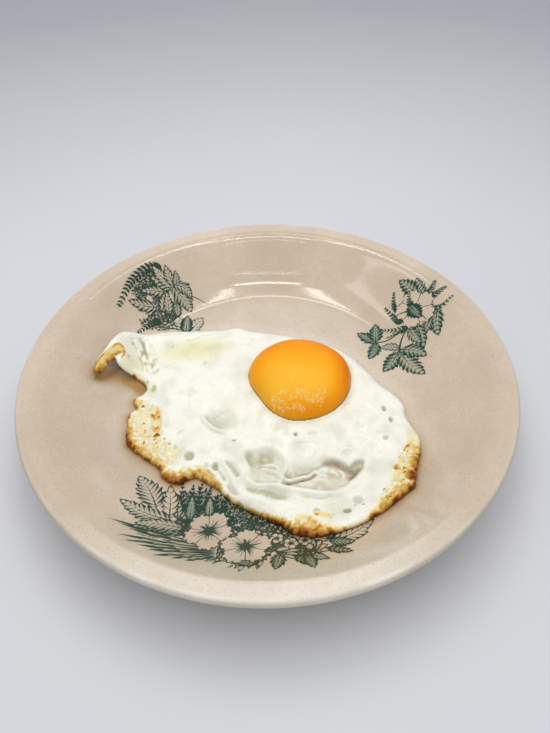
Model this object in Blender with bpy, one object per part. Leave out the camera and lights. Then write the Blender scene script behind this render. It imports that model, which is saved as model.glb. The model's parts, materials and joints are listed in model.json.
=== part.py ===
"""A fried egg, sunny side up, on its shallow rimmed plate.

Metres, +Z up. The origin is the centre of the plate's foot, at table level.
The plate is one turned body. The egg is two: the cooked white, which lies in
the plate and keeps a seat for the yolk, and the yolk.
"""

import math

import bmesh
import bpy
import numpy as np
from mathutils import Vector
from mathutils.geometry import delaunay_2d_cdt

MM = 0.001
CLEARANCE = 0.35 * MM
MERGE_DISTANCE = 0.01 * MM

# The plate, an eight-inch stoneware one.
RIM_RADIUS = 101.5 * MM
FLOOR_HEIGHT = 9.0 * MM
WALL_SLOPE = 0.735
WALL_START = 66.0 * MM
WALL_BLEND = 5.0 * MM
BAND_START = 92.0 * MM
BAND_SLOPE = 0.14
BAND_BLEND = 0.9 * MM
LIP_RADIUS = 2.1 * MM
WALL_THICKNESS = 5.4 * MM
UNDER_KNEE = 76.0 * MM
FOOT_OUTER = 57.5 * MM
FOOT_INNER = 53.0 * MM
FOOT_HEIGHT = 3.6 * MM
FOOT_FLARE = 2.5 * MM
FOOT_DRAFT = 1.2 * MM
FOOT_CHAMFER = 0.6 * MM
PLATE_SIDES = 84
TOP_RADII_MM = (0, 30, 52, 58, 62, 66, 70, 74, 79, 85, 90, 91.5, 92.5, 94)
LIP_STEPS = 6

# The yolk: a flattened drop with a small bulge at the front of its foot.
YOLK_X = 13.0 * MM
YOLK_Y = -0.8 * MM
YOLK_RADIUS = 22.2 * MM
YOLK_WAIST = 15.0 * MM
YOLK_CROWN = 12.0 * MM
YOLK_BELLY = 4.0 * MM
YOLK_BULGE = 1.3 * MM
YOLK_BULGE_BEARING = math.radians(-97)
YOLK_BULGE_WIDTH = math.radians(16)
YOLK_SIDES = 48
CROWN_DEGREES = (90, 78, 66, 54, 42, 31, 20, 10)
BELLY_SHARES = (1.0, 0.97, 0.9, 0.75, 0.5, 0.0)
BELLY_FULLNESS = 4

# The white's outline as it lies in the plate, in millimetres, clockwise from
# the tail's back corner: back edge, right flank, crisp front, lacy left side,
# then the hooked tip of the tail.
OUTLINE_MM = [
    (-59.5, 30), (-48, 34), (-34, 35.2), (-22, 35.6), (-15, 37.2), (-8, 34.6),
    (5, 32), (17, 28.4), (28, 24), (37, 17.5), (44.5, 7.5), (50, -1.5),
    (54.5, -6.5), (57.5, -13), (57.5, -20), (60, -30), (58.5, -40),
    (54, -52), (47, -60.5), (37, -67), (26, -71.3), (17, -73.6), (10, -72.6),
    (4, -66.5), (-4, -63), (-13, -57), (-22, -49.5), (-28.5, -46.3),
    (-34.5, -49.3), (-40, -47), (-43, -42), (-50, -37), (-56, -32),
    (-57.5, -24), (-59, -17), (-56, -12.5), (-58, -8.5), (-53.5, -3),
    (-55, 0.5), (-59.2, 3), (-64.3, 4.8), (-66.6, 7.2), (-66.8, 10.6),
    (-68.9, 7.4), (-71.2, 2.6), (-73.6, 0.6), (-75, 2.2), (-72, 9.8),
    (-69.2, 18.4), (-65.3, 24.8),
]
OUTLINE_STEPS = 2
MESH_STEP = 3.4 * MM
EDGE_INSET = 1.4 * MM
FIELD_INSET = 1.8 * EDGE_INSET
LEAST_INSET = 0.7 * EDGE_INSET
CROWDED_SHARE = 0.85
RING_GAP = 3.2 * MM

# How thick the white is, and how it swells and sinks.
WHITE_THICKNESS = 3.4 * MM
WHITE_EDGE = 0.9 * MM
WHITE_EDGE_ROLL = 5.0 * MM
SHOULDER_RISE = 1.6 * MM
SHOULDER_REACH = 14.0 * MM
SEAT_FILM = 1.0 * MM
SEAT_RINGS = (0.5 * MM, -0.7 * MM, -2.4 * MM)
TAIL_LIFT = 6.5 * MM
TAIL_START = -57.0 * MM
TAIL_END = -68.5 * MM
TIP_DROP = 3.5 * MM
TIP_CENTRE = (-74.5 * MM, 0.5 * MM)
TIP_REACH = 8.0 * MM

# Swellings and hollows on top: centre x and y, half length, half width,
# bearing of the long side in degrees, and height, all in millimetres.
RELIEF_MM = {
    "blister": (-17.5, -20.0, 7.0, 6.0, 0, 1.9),
    "front_pillow": (8.0, -62.0, 26.0, 6.0, -8, 1.5),
    "left_pillow": (-36.0, 4.0, 18.0, 15.0, 20, 0.9),
    "back_pillow": (-30.0, 24.0, 20.0, 8.0, 5, 0.7),
    "right_pillow": (45.0, -24.0, 9.0, 16.0, 15, 0.8),
    "pocket_left": (0.0, -43.0, 7.5, 4.5, -40, -2.0),
    "pocket_right": (26.0, -46.0, 11.5, 7.0, 20, -2.3),
    "pocket_floor": (12.0, -49.5, 15.0, 4.0, -4, -1.3),
    "lace_dip": (-45.5, -25.0, 2.6, 9.0, -12, -1.3),
}
HUMP_FULLNESS = 3

COLOURS = {
    "stoneware_glaze": ((0.62, 0.51, 0.41), 0.22),
    "cooked_white": ((0.90, 0.88, 0.80), 0.35),
    "yolk": ((0.95, 0.36, 0.02), 0.25),
}


def clear_scene():
    for thing in list(bpy.data.objects):
        bpy.data.objects.remove(thing, do_unlink=True)


def material(name):
    """A plain finish of the given name, from COLOURS."""
    colour, roughness = COLOURS[name]
    finish = bpy.data.materials.new(name)
    finish.use_nodes = True
    shader = finish.node_tree.nodes["Principled BSDF"]
    shader.inputs["Base Color"].default_value = (*colour, 1.0)
    shader.inputs["Roughness"].default_value = roughness
    shader.inputs["Metallic"].default_value = 0.0
    return finish


def add_object(name, bm, finish, sharp_angle=40):
    """Close the bmesh's seams, point its faces out and make it an object."""
    bmesh.ops.remove_doubles(bm, verts=bm.verts, dist=MERGE_DISTANCE)
    bmesh.ops.triangulate(bm, faces=bm.faces)
    bmesh.ops.recalc_face_normals(bm, faces=bm.faces)
    mesh = bpy.data.meshes.new(name)
    bm.to_mesh(mesh)
    bm.free()
    mesh.materials.append(finish)
    mesh.shade_smooth()
    mesh.set_sharp_from_angle(angle=math.radians(sharp_angle))
    piece = bpy.data.objects.new(name, mesh)
    bpy.context.scene.collection.objects.link(piece)
    return piece


def soft_ramp(distance, blend):
    """Zero well before distance 0, the distance itself well after it."""
    return blend * np.logaddexp(0.0, distance / blend)


def smooth_step(low, high, value):
    part = np.clip((value - low) / (high - low), 0.0, 1.0)
    return part * part * (3 - 2 * part)


def plate_top(radius):
    """Height of the plate's upper surface: flat floor, wall, then a band."""
    wall = WALL_SLOPE * soft_ramp(radius - WALL_START, WALL_BLEND)
    band = (WALL_SLOPE - BAND_SLOPE) * soft_ramp(radius - BAND_START, BAND_BLEND)
    return FLOOR_HEIGHT + wall - band


def plate_profile():
    """The plate's half section as (radius, height), from the middle of the
    floor out over the lip and back underneath to the middle of the base."""
    points = [(r * MM, float(plate_top(r * MM))) for r in TOP_RADII_MM]
    band_end = RIM_RADIUS - LIP_RADIUS
    lip_height = float(plate_top(band_end)) - LIP_RADIUS
    for step in range(LIP_STEPS + 1):
        angle = math.pi / 2 - math.pi * step / LIP_STEPS
        points.append((band_end + LIP_RADIUS * math.cos(angle),
                       lip_height + LIP_RADIUS * math.sin(angle)))
    for radius in (BAND_START, UNDER_KNEE):
        points.append((radius, float(plate_top(radius)) - WALL_THICKNESS))
    points += [
        (FOOT_OUTER + FOOT_FLARE, FOOT_HEIGHT),
        (FOOT_OUTER, FOOT_CHAMFER),
        (FOOT_OUTER - FOOT_CHAMFER, 0.0),
        (FOOT_INNER + FOOT_CHAMFER, 0.0),
        (FOOT_INNER, FOOT_CHAMFER),
        (FOOT_INNER - FOOT_DRAFT, FOOT_HEIGHT),
        (0.0, FOOT_HEIGHT),
    ]
    return points


def turned(bm, profile, sides):
    """Spin a half section, given as (radius, height), round the Z axis."""
    section = [bm.verts.new((radius, 0, height)) for radius, height in profile]
    edges = [bm.edges.new(pair) for pair in zip(section, section[1:])]
    bmesh.ops.spin(bm, geom=section + edges, cent=(0, 0, 0), axis=(0, 0, 1),
                   angle=math.tau, steps=sides, use_merge=True)


def make_plate():
    bm = bmesh.new()
    turned(bm, plate_profile(), PLATE_SIDES)
    return add_object("plate", bm, material("stoneware_glaze"))


def yolk_reach(bearing):
    """The yolk's radius in a direction: round, with its front bulge."""
    turn = np.angle(np.exp(1j * (bearing - YOLK_BULGE_BEARING)))
    return YOLK_RADIUS + YOLK_BULGE * np.exp(-(turn / YOLK_BULGE_WIDTH) ** 2)


def yolk_belly(share):
    """Height of the yolk's underside at a share of its radius."""
    return YOLK_WAIST - YOLK_BELLY * np.sqrt(1 - np.minimum(share, 1.0) ** BELLY_FULLNESS)


def make_yolk():
    """A turned drop, whose reach is then adjusted in each direction."""
    profile = []
    for degrees in CROWN_DEGREES:
        angle = math.radians(degrees)
        profile.append((YOLK_RADIUS * math.cos(angle), YOLK_WAIST + YOLK_CROWN * math.sin(angle)))
    for share in BELLY_SHARES:
        profile.append((YOLK_RADIUS * share, float(yolk_belly(share))))
    bm = bmesh.new()
    turned(bm, profile, YOLK_SIDES)
    for vert in bm.verts:
        stretch = float(yolk_reach(math.atan2(vert.co.y, vert.co.x))) / YOLK_RADIUS
        vert.co.x = vert.co.x * stretch + YOLK_X
        vert.co.y = vert.co.y * stretch + YOLK_Y
    return add_object("egg_yolk", bm, material("yolk"))


def smooth_loop(knots, steps):
    """A closed Catmull-Rom curve through the knots."""
    loop = []
    for index, start in enumerate(knots):
        before = knots[index - 1]
        end = knots[(index + 1) % len(knots)]
        after = knots[(index + 2) % len(knots)]
        for step in range(steps):
            t = step / steps
            loop.append(0.5 * (2 * start + (end - before) * t
                               + (2 * before - 5 * start + 4 * end - after) * t ** 2
                               + (3 * start - before - 3 * end + after) * t ** 3))
    return np.array(loop)


def distance_to_loop(points, loop):
    """Distance from each point to the nearest stretch of a closed loop."""
    ends = np.roll(loop, -1, axis=0)
    along = ends - loop
    offset = points[:, None, :] - loop[None, :, :]
    part = np.clip((offset * along).sum(2) / (along ** 2).sum(1), 0, 1)
    return np.linalg.norm(offset - part[..., None] * along, axis=2).min(1)


def inside_loop(points, loop):
    """Whether each point lies inside a closed loop, by counting crossings."""
    ends = np.roll(loop, -1, axis=0)
    x, y = points[:, :1], points[:, 1:]
    spans = (loop[:, 1] > y) != (ends[:, 1] > y)
    rise = np.where(ends[:, 1] == loop[:, 1], 1.0, ends[:, 1] - loop[:, 1])
    crossing = loop[:, 0] + (y - loop[:, 1]) / rise * (ends[:, 0] - loop[:, 0])
    return (spans & (x < crossing)).sum(1) % 2 == 1


def lattice(loop, step, margin):
    """Points of an even triangular lattice that lie inside the loop."""
    low, high = loop.min(0), loop.max(0)
    rows = np.arange(low[1], high[1], step * math.sqrt(3) / 2)
    points = []
    for number, y in enumerate(rows):
        for x in np.arange(low[0] + (number % 2) * step / 2, high[0], step):
            points.append((x, y))
    points = np.array(points)
    keep = inside_loop(points, loop)
    points = points[keep]
    return points[distance_to_loop(points, loop) > margin]


def hump(points, x, y, half_length, half_width, bearing, height):
    """A smooth swelling, or a hollow where height is negative."""
    turn = math.radians(bearing)
    dx = points[:, 0] - x * MM
    dy = points[:, 1] - y * MM
    along = (dx * math.cos(turn) + dy * math.sin(turn)) / (half_length * MM)
    across = (dy * math.cos(turn) - dx * math.sin(turn)) / (half_width * MM)
    return height * MM * np.exp(-np.hypot(along, across) ** HUMP_FULLNESS)


def white_underside(points):
    """The white follows the plate, and its tail lifts off it and hooks."""
    rest = plate_top(np.hypot(points[:, 0], points[:, 1])) + CLEARANCE
    lift = TAIL_LIFT * smooth_step(TAIL_START, TAIL_END, points[:, 0])
    from_tip = np.hypot(points[:, 0] - TIP_CENTRE[0], points[:, 1] - TIP_CENTRE[1])
    drop = TIP_DROP * (1 - smooth_step(0.0, TIP_REACH, from_tip))
    return rest + lift - drop


def white_topside(points, loop):
    """Rounded at the edge, raised beside the yolk, cut to seat the yolk."""
    under = white_underside(points)
    edge = np.clip(distance_to_loop(points, loop) / WHITE_EDGE_ROLL, 0, 1)
    roll = np.sqrt(1 - (1 - edge) ** 2)
    dx, dy = points[:, 0] - YOLK_X, points[:, 1] - YOLK_Y
    from_yolk = np.hypot(dx, dy)
    reach = yolk_reach(np.arctan2(dy, dx))
    thickness = np.full(len(points), WHITE_THICKNESS)
    thickness += SHOULDER_RISE * (1 - smooth_step(0.0, SHOULDER_REACH, from_yolk - reach))
    for swelling in RELIEF_MM.values():
        thickness += hump(points, *swelling)
    top = under + WHITE_EDGE + (thickness - WHITE_EDGE) * roll
    seat = np.maximum(under + SEAT_FILM, yolk_belly(from_yolk / reach) - CLEARANCE)
    in_seat = from_yolk < reach + CLEARANCE
    return np.where(in_seat, np.minimum(top, seat), top)


def yolk_ring(spread):
    """Points round the yolk, at a distance outside its waist."""
    bearings = np.arange(YOLK_SIDES) * math.tau / YOLK_SIDES
    reach = yolk_reach(bearings) + spread
    return np.stack([YOLK_X + reach * np.cos(bearings), YOLK_Y + reach * np.sin(bearings)], 1)


def inset_ring(loop, depth):
    """The loop moved inwards by depth, without the points that would crowd."""
    tangent = np.roll(loop, -1, axis=0) - np.roll(loop, 1, axis=0)
    tangent /= np.linalg.norm(tangent, axis=1, keepdims=True)
    ring = loop + depth * np.stack([tangent[:, 1], -tangent[:, 0]], 1)
    ring = ring[inside_loop(ring, loop)]
    return ring[distance_to_loop(ring, loop) > CROWDED_SHARE * depth]


def white_plan(loop):
    """The plan points of the white: its edge, then those inside it."""
    field = lattice(loop, MESH_STEP, FIELD_INSET)
    from_yolk = np.hypot(field[:, 0] - YOLK_X, field[:, 1] - YOLK_Y)
    field = field[np.abs(from_yolk - YOLK_RADIUS) > RING_GAP]
    seats = [yolk_ring(spread) for spread in SEAT_RINGS]
    inner = np.concatenate([inset_ring(loop, EDGE_INSET), field, *seats])
    inner = inner[distance_to_loop(inner, loop) > LEAST_INSET]
    return np.concatenate([loop, inner])


def make_white():
    """Fill the outline with triangles, then lift them into a top and an
    underside that share a low wall along the edge."""
    loop = smooth_loop(np.array(OUTLINE_MM) * MM, OUTLINE_STEPS)
    plan = white_plan(loop)
    corners = len(loop)
    edges = [(i, (i + 1) % corners) for i in range(corners)]
    flat, _, faces, _, _, _ = delaunay_2d_cdt([Vector(p) for p in plan], edges, [], 1, 1e-7)
    flat = np.array([tuple(p) for p in flat])
    bm = bmesh.new()
    under = [bm.verts.new((x, y, z)) for (x, y), z in zip(flat, white_underside(flat))]
    upper = [bm.verts.new((x, y, z)) for (x, y), z in zip(flat, white_topside(flat, loop))]
    for face in faces:
        bm.faces.new([upper[i] for i in face])
        bm.faces.new([under[i] for i in reversed(face)])
    open_edges = [edge for edge in bm.edges if edge.is_boundary]
    bmesh.ops.bridge_loops(bm, edges=open_edges)
    return add_object("egg_white", bm, material("cooked_white"), sharp_angle=60)


def main():
    clear_scene()
    make_plate()
    make_white()
    make_yolk()


main()
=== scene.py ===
# %% [markdown]
# # A fried egg on its plate
#
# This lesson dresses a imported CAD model: one egg, fried sunny side up, on a
# shallow glazed stoneware plate with a green leaf and flower print. The CAD
# solids are right in size and place, but plain. Each is replaced here by a
# finer piece of nearly the same shape, and then gets its finish.
#
# We work in metres, with millimetres written as `5 * MM`. The origin is the
# middle of the plate's foot, on the table, and Z points up.

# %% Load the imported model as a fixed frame
import json
import math

import bmesh
import bpy
import numpy as np
from mathutils import Matrix, Vector, noise

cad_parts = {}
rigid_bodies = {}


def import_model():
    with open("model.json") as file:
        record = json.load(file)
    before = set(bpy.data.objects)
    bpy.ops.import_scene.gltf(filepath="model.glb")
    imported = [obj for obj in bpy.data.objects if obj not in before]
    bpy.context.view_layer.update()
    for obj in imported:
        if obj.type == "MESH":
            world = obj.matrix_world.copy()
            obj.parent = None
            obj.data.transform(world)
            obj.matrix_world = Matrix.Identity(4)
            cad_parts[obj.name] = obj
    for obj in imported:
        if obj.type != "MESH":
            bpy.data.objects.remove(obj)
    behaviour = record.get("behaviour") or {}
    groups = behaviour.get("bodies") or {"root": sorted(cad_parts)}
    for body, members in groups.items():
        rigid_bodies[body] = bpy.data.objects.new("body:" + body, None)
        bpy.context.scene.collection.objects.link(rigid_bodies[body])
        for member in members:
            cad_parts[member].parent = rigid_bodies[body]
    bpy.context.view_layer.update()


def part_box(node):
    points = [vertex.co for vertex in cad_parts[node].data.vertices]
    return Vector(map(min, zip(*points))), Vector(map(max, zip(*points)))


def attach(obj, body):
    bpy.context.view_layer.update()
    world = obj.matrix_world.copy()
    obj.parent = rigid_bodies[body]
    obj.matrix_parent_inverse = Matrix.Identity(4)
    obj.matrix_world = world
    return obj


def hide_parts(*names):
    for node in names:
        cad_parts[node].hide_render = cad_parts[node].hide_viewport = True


for thing in list(bpy.data.objects):
    bpy.data.objects.remove(thing, do_unlink=True)
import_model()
MM = 0.001
plate_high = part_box("plate")[1]
yolk_low, yolk_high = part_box("egg_yolk")
RIM_RADIUS = plate_high.x
YOLK_RADIUS = (yolk_high.x - yolk_low.x) / 2
YOLK_X = (yolk_high.x + yolk_low.x) / 2
YOLK_Y = yolk_high.y - YOLK_RADIUS
print(f"plate {2 * RIM_RADIUS / MM:.0f} mm across, yolk {2 * YOLK_RADIUS / MM:.1f} mm across")

# %% [markdown]
# ## The camera
#
# A person who sits at the table looks down at their plate at about 47
# degrees. The camera stands there, near enough to show perspective: the
# plate's front looks clearly wider than its back.

# %% Place the camera
FOCAL_SHARE = 0.7503  # focal length as a share of the picture's long side
SENSOR = 36.0
CLIP_START = 0.01
CAMERA_PLACE = (3.1 * MM, -160.4 * MM, 194.0 * MM)
LOOK_DOWN = math.radians(46.85)
CAMERA_ROLL = math.radians(-0.69)
camera_data = bpy.data.cameras.new("camera")
camera_data.sensor_width = SENSOR
camera_data.lens = SENSOR * FOCAL_SHARE
camera_data.clip_start = CLIP_START
camera = bpy.data.objects.new("camera", camera_data)
camera.location = CAMERA_PLACE
tilt = Matrix.Rotation(math.pi / 2 - LOOK_DOWN, 3, "X") @ Matrix.Rotation(CAMERA_ROLL, 3, "Z")
camera.rotation_euler = tilt.to_euler()
bpy.context.scene.collection.objects.link(camera)
bpy.context.scene.camera = camera
bpy.context.scene.view_settings.view_transform = "Standard"
print("camera", tuple(round(c, 4) for c in camera.location))

# %% [markdown]
# ## The stage and the light
#
# The plate stands in a tent of thin white cloth. Most of its light comes
# evenly from all sides, so a pale world and a broad roof panel do most of the
# work. A wedge of narrow lamp strips in the roof gives the glaze its crisp
# highlights: polished things are seen by what they mirror, so the lines on the
# plate's curve are pictures of those strips.

# %% Make finishes with small helpers
def add_node(tree, kind, **settings):
    """A new node with some of its settings changed."""
    made = tree.nodes.new(kind)
    for name, value in settings.items():
        setattr(made, name, value)
    return made


def new_finish(name):
    """A material, its node tree and its Principled shader."""
    finish = bpy.data.materials.new(name)
    finish.use_nodes = True
    return finish, finish.node_tree, finish.node_tree.nodes["Principled BSDF"]


def set_inputs(shader, **values):
    """Set sockets by name: Coat_Weight=1 sets 'Coat Weight'."""
    for name, value in values.items():
        shader.inputs[name.replace("_", " ")].default_value = value


def grain(tree, size, detail=2.0, roughness=0.5):
    """Noise over the piece's own coordinates; size is its grain in metres."""
    place = add_node(tree, "ShaderNodeTexCoord")
    texture = add_node(tree, "ShaderNodeTexNoise")
    texture.inputs["Scale"].default_value = 1 / size
    texture.inputs["Detail"].default_value = detail
    texture.inputs["Roughness"].default_value = roughness
    tree.links.new(place.outputs["Object"], texture.inputs["Vector"])
    return texture.outputs["Fac"]


print("a finish can have its sockets set, and noise")

# %% Change colours and values in a finish
def ramp(tree, value, stops):
    """A colour ramp over a value; stops are (position, (r, g, b))."""
    made = add_node(tree, "ShaderNodeValToRGB")
    elements = made.color_ramp.elements
    while len(elements) < len(stops):
        elements.new(0.5)
    for element, (position, colour) in zip(elements, stops):
        element.position = position
        element.color = (*colour, 1.0)
    tree.links.new(value, made.inputs["Fac"])
    return made.outputs["Color"]


def mix(tree, share, one, other, blend="MIX"):
    """Mix two colours; each is a socket or (r, g, b), share a socket or number."""
    made = add_node(tree, "ShaderNodeMix", data_type="RGBA", blend_type=blend)
    sockets = (made.inputs[0], made.inputs[6], made.inputs[7])
    for socket, value in zip(sockets, (share, one, other)):
        if isinstance(value, bpy.types.NodeSocket):
            tree.links.new(value, socket)
        elif isinstance(value, tuple):
            socket.default_value = (*value, 1.0)
        else:
            socket.default_value = value
    return made.outputs[2]


def remap(tree, value, low, high, to_low=0.0, to_high=1.0):
    """Stretch a value's range, clamped, with smooth ends."""
    made = add_node(tree, "ShaderNodeMapRange", interpolation_type="SMOOTHSTEP")
    limits = {"From Min": low, "From Max": high, "To Min": to_low, "To Max": to_high}
    for name, number in limits.items():
        made.inputs[name].default_value = number
    tree.links.new(value, made.inputs["Value"])
    return made.outputs["Result"]


def attribute(tree, name):
    """The value that a piece's points carry under this name."""
    return add_node(tree, "ShaderNodeAttribute", attribute_name=name).outputs["Fac"]


def bumps(tree, shader, height, distance, strength=1.0):
    """Give the shader fine relief; distance is the relief's depth in metres."""
    made = add_node(tree, "ShaderNodeBump")
    made.inputs["Strength"].default_value = strength
    made.inputs["Distance"].default_value = distance
    tree.links.new(height, made.inputs["Height"])
    tree.links.new(made.outputs["Normal"], shader.inputs["Normal"])


print("a finish can mix, remap and read what is painted on a piece")

# %% Lay the floor
FLOOR_REACH = 3.0
FLOOR_PALE = (0.70, 0.712, 0.75)
FLOOR_DEEP = (0.66, 0.672, 0.712)
FLOOR_CLOUDS = 0.35

floor_finish, tree, shader = new_finish("tent_floor")
floor_tone = ramp(tree, grain(tree, FLOOR_CLOUDS), [(0.3, FLOOR_DEEP), (0.7, FLOOR_PALE)])
tree.links.new(floor_tone, shader.inputs["Base Color"])
set_inputs(shader, Roughness=0.55, Specular_IOR_Level=0.25)
bm = bmesh.new()
bmesh.ops.create_grid(bm, x_segments=2, y_segments=2, size=FLOOR_REACH)
floor_mesh = bpy.data.meshes.new("floor")
bm.to_mesh(floor_mesh)
bm.free()
floor_mesh.materials.append(floor_finish)
floor = bpy.data.objects.new("floor", floor_mesh)
bpy.context.scene.collection.objects.link(floor)
print("floor", 2 * FLOOR_REACH, "m wide")

# %% Light the tent
TENT_LIGHT = (0.93, 0.96, 1.0)
TENT_STRENGTH = 0.50
world = bpy.data.worlds.new("tent")
world.use_nodes = True
backdrop = world.node_tree.nodes["Background"]
backdrop.inputs["Color"].default_value = (*TENT_LIGHT, 1.0)
backdrop.inputs["Strength"].default_value = TENT_STRENGTH
bpy.context.scene.world = world


def hang_lamp(name, place, width, depth, radiance, turn=0.0, colour=(1.0, 0.97, 0.93)):
    """A flat rectangular lamp that faces straight down, turned this many
    degrees about Z."""
    data = bpy.data.lights.new(name, "AREA")
    data.shape = "RECTANGLE"
    data.size = width
    data.size_y = depth
    data.energy = math.pi * width * depth * radiance
    data.color = colour
    lamp = bpy.data.objects.new(name, data)
    lamp.location = place
    lamp.rotation_euler.z = math.radians(turn)
    bpy.context.scene.collection.objects.link(lamp)
    return lamp


ROOF_HEIGHT = 0.40
# each is the middle's x and y, the width, the depth, the radiance and the turn in degrees
STRIPS = [
    (-0.0025, 0.064, 0.076, 0.010, 24, 0), (0.023, 0.150, 0.011, 0.120, 12, 13),
    (-0.037, 0.152, 0.017, 0.124, 11, -11), (-0.004, 0.240, 0.040, 0.020, 7, 0),
    (0.0, 0.002, 0.105, 0.004, 9, 0), (-0.150, 0.110, 0.034, 0.140, 3.0, 12),
]
for x, y, width, depth, radiance, turn in STRIPS:
    hang_lamp("ring_strip", (x, y, ROOF_HEIGHT), width, depth, radiance, turn)
PANEL_SIZE = 0.60
PANEL_HEIGHT = 0.50
PANEL_GLOW = 1.5
panel = hang_lamp("roof_panel", (0, 0, PANEL_HEIGHT), PANEL_SIZE, PANEL_SIZE, PANEL_GLOW)
panel.visible_glossy = False
print(len(STRIPS), "strips and a roof panel")

# %% [markdown]
# ## The plate
#
# A potter throws or presses such a plate round an axis, so we spin it: half
# of its cross section is drawn once and turned round Z. One formula gives the
# upper surface: a flat floor, a wall that sweeps up out of it, and a narrow
# band before the lip. A soft ramp, zero before its start and straight after
# it, joins the three without a corner, which is what a glaze highlight needs
# in order to run smoothly. The CAD plate has flats too wide for that, so this
# finer one stands in for it.

# %% Shape the plate's upper side
FLOOR_HEIGHT = 9.0 * MM
WALL_SLOPE = 0.735
WALL_START = 66.0 * MM
WALL_BLEND = 5.0 * MM
BAND_START = 92.0 * MM
BAND_SLOPE = 0.14
BAND_BLEND = 0.9 * MM


def soft_ramp(distance, blend):
    """Zero well before distance 0, the distance itself well after it."""
    return blend * np.logaddexp(0.0, distance / blend)


def plate_top(radius):
    """Height of the plate's upper surface at a distance from its axis."""
    wall = WALL_SLOPE * soft_ramp(radius - WALL_START, WALL_BLEND)
    band = (WALL_SLOPE - BAND_SLOPE) * soft_ramp(radius - BAND_START, BAND_BLEND)
    return FLOOR_HEIGHT + wall - band


print(f"{plate_top(0) / MM:.1f} mm high in the middle, {plate_top(BAND_START) / MM:.1f} mm at the band")

# %% Draw its half section
LIP_RADIUS = 2.1 * MM
WALL_THICKNESS = 5.4 * MM
UNDER_KNEE = 76.0 * MM
FOOT_OUTER = 57.5 * MM
FOOT_INNER = 53.0 * MM
FOOT_HEIGHT = 3.6 * MM
FOOT_FLARE = 2.5 * MM
FOOT_DRAFT = 1.2 * MM
FOOT_CHAMFER = 0.6 * MM
PLATE_STEP = 1.0 * MM
LIP_STEPS = 12


def plate_profile():
    """Half section of the plate as (radius, height), from the middle of the
    floor over the lip and back underneath to the middle of the base."""
    band_end = RIM_RADIUS - LIP_RADIUS
    fine_from = BAND_START - 3 * BAND_BLEND
    radii = [*np.arange(0, fine_from, PLATE_STEP), *np.arange(fine_from, band_end, PLATE_STEP / 5), band_end]
    points = [(radius, float(plate_top(radius))) for radius in radii]
    lip_height = float(plate_top(band_end)) - LIP_RADIUS
    for step in range(1, LIP_STEPS + 1):
        angle = math.pi / 2 - math.pi * step / LIP_STEPS
        points.append((band_end + LIP_RADIUS * math.cos(angle),
                       lip_height + LIP_RADIUS * math.sin(angle)))
    for radius in np.arange(BAND_START, UNDER_KNEE, -PLATE_STEP):
        points.append((radius, float(plate_top(radius)) - WALL_THICKNESS))
    points += [
        (UNDER_KNEE, float(plate_top(UNDER_KNEE)) - WALL_THICKNESS),
        (FOOT_OUTER + FOOT_FLARE, FOOT_HEIGHT),
        (FOOT_OUTER, FOOT_CHAMFER),
        (FOOT_OUTER - FOOT_CHAMFER, 0.0),
        (FOOT_INNER + FOOT_CHAMFER, 0.0),
        (FOOT_INNER, FOOT_CHAMFER),
        (FOOT_INNER - FOOT_DRAFT, FOOT_HEIGHT),
        (0.0, FOOT_HEIGHT),
    ]
    return points


print("profile points", len(plate_profile()))

# %% Turn the plate
PLATE_SIDES = 360


def spin_profile(bm, profile, sides):
    """Turn a half section, given as (radius, height), once round Z."""
    section = [bm.verts.new((radius, 0, height)) for radius, height in profile]
    edges = [bm.edges.new(pair) for pair in zip(section, section[1:])]
    bmesh.ops.spin(bm, geom=section + edges, cent=(0, 0, 0), axis=(0, 0, 1),
                   angle=math.tau, steps=sides, use_merge=True)
    bmesh.ops.remove_doubles(bm, verts=bm.verts, dist=0.001 * MM)
    bmesh.ops.recalc_face_normals(bm, faces=bm.faces)


def place_piece(name, mesh, finishes, replaced=None, sharp_degrees=50):
    """Give a mesh its finishes, make it a piece that rides on the plate's
    body, and let it stand for a CAD solid."""
    for finish in finishes:
        mesh.materials.append(finish)
    mesh.shade_smooth()
    mesh.set_sharp_from_angle(angle=math.radians(sharp_degrees))
    piece = bpy.data.objects.new(name, mesh)
    bpy.context.scene.collection.objects.link(piece)
    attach(piece, "root")
    if replaced:
        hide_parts(replaced)
    print(name, len(mesh.vertices), "points", len(mesh.polygons), "faces")
    return piece


bm = bmesh.new()
spin_profile(bm, plate_profile(), PLATE_SIDES)
plate_mesh = bpy.data.meshes.new("stoneware_plate")
bm.to_mesh(plate_mesh)
bm.free()
print("plate", len(plate_mesh.vertices), "points")

# %% [markdown]
# ## The glaze
#
# The clay fires to a warm beige with fine dark iron specks, and a clear
# glossy glaze lies over it. So one Principled shader does it: the colour is a
# pale ramp over broad cloudy noise, a finer noise gives the mottling, a very
# fine one is cut high to leave only specks, and the low roughness is the
# glaze. The foot ring is wiped clean before firing and stays bare and dull.

# %% Choose the glaze's colours and grain
GLAZE_PALE = (0.640, 0.532, 0.416)
GLAZE_DEEP = (0.552, 0.450, 0.340)
GLAZE_SPECK = (0.36, 0.27, 0.19)
BARE_CLAY = (0.55, 0.47, 0.37)
# painted warm shade on the glaze: a warm shadow under the tail and along the crust
WARM_SHADE_TINT = (0.62, 0.43, 0.17)
# the tint for painted highlights, painted light and painted reflections on the glaze
PAINTED_LIGHT_TINT = (1.20, 1.29, 1.40)
RIM_ROUGHNESS = (0.3, 0.3, 0.3)
# painted shade where the wall meets the band and at the lip's outer edge, and darker spots
PAINTED_SHADE_TINT = (0.86, 0.92, 0.90)
# a painted highlight along the lip's crest
LIP_HIGHLIGHT_TONE = (0.90, 0.87, 0.82)
CLOUD_SIZE = 34 * MM
MOTTLE_SIZE = 3.2 * MM
SPECK_SIZE = 0.55 * MM
GLAZE_ROUGHNESS = 0.08
WAVE_SIZE = 6 * MM
WAVE_DEPTH = 0.02 * MM
BARE_BELOW = 1.0 * MM
BARE_ROUGHNESS = 0.8
print("specks of", round(SPECK_SIZE / MM, 2), "mm in clouds of", round(CLOUD_SIZE / MM), "mm")

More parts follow.
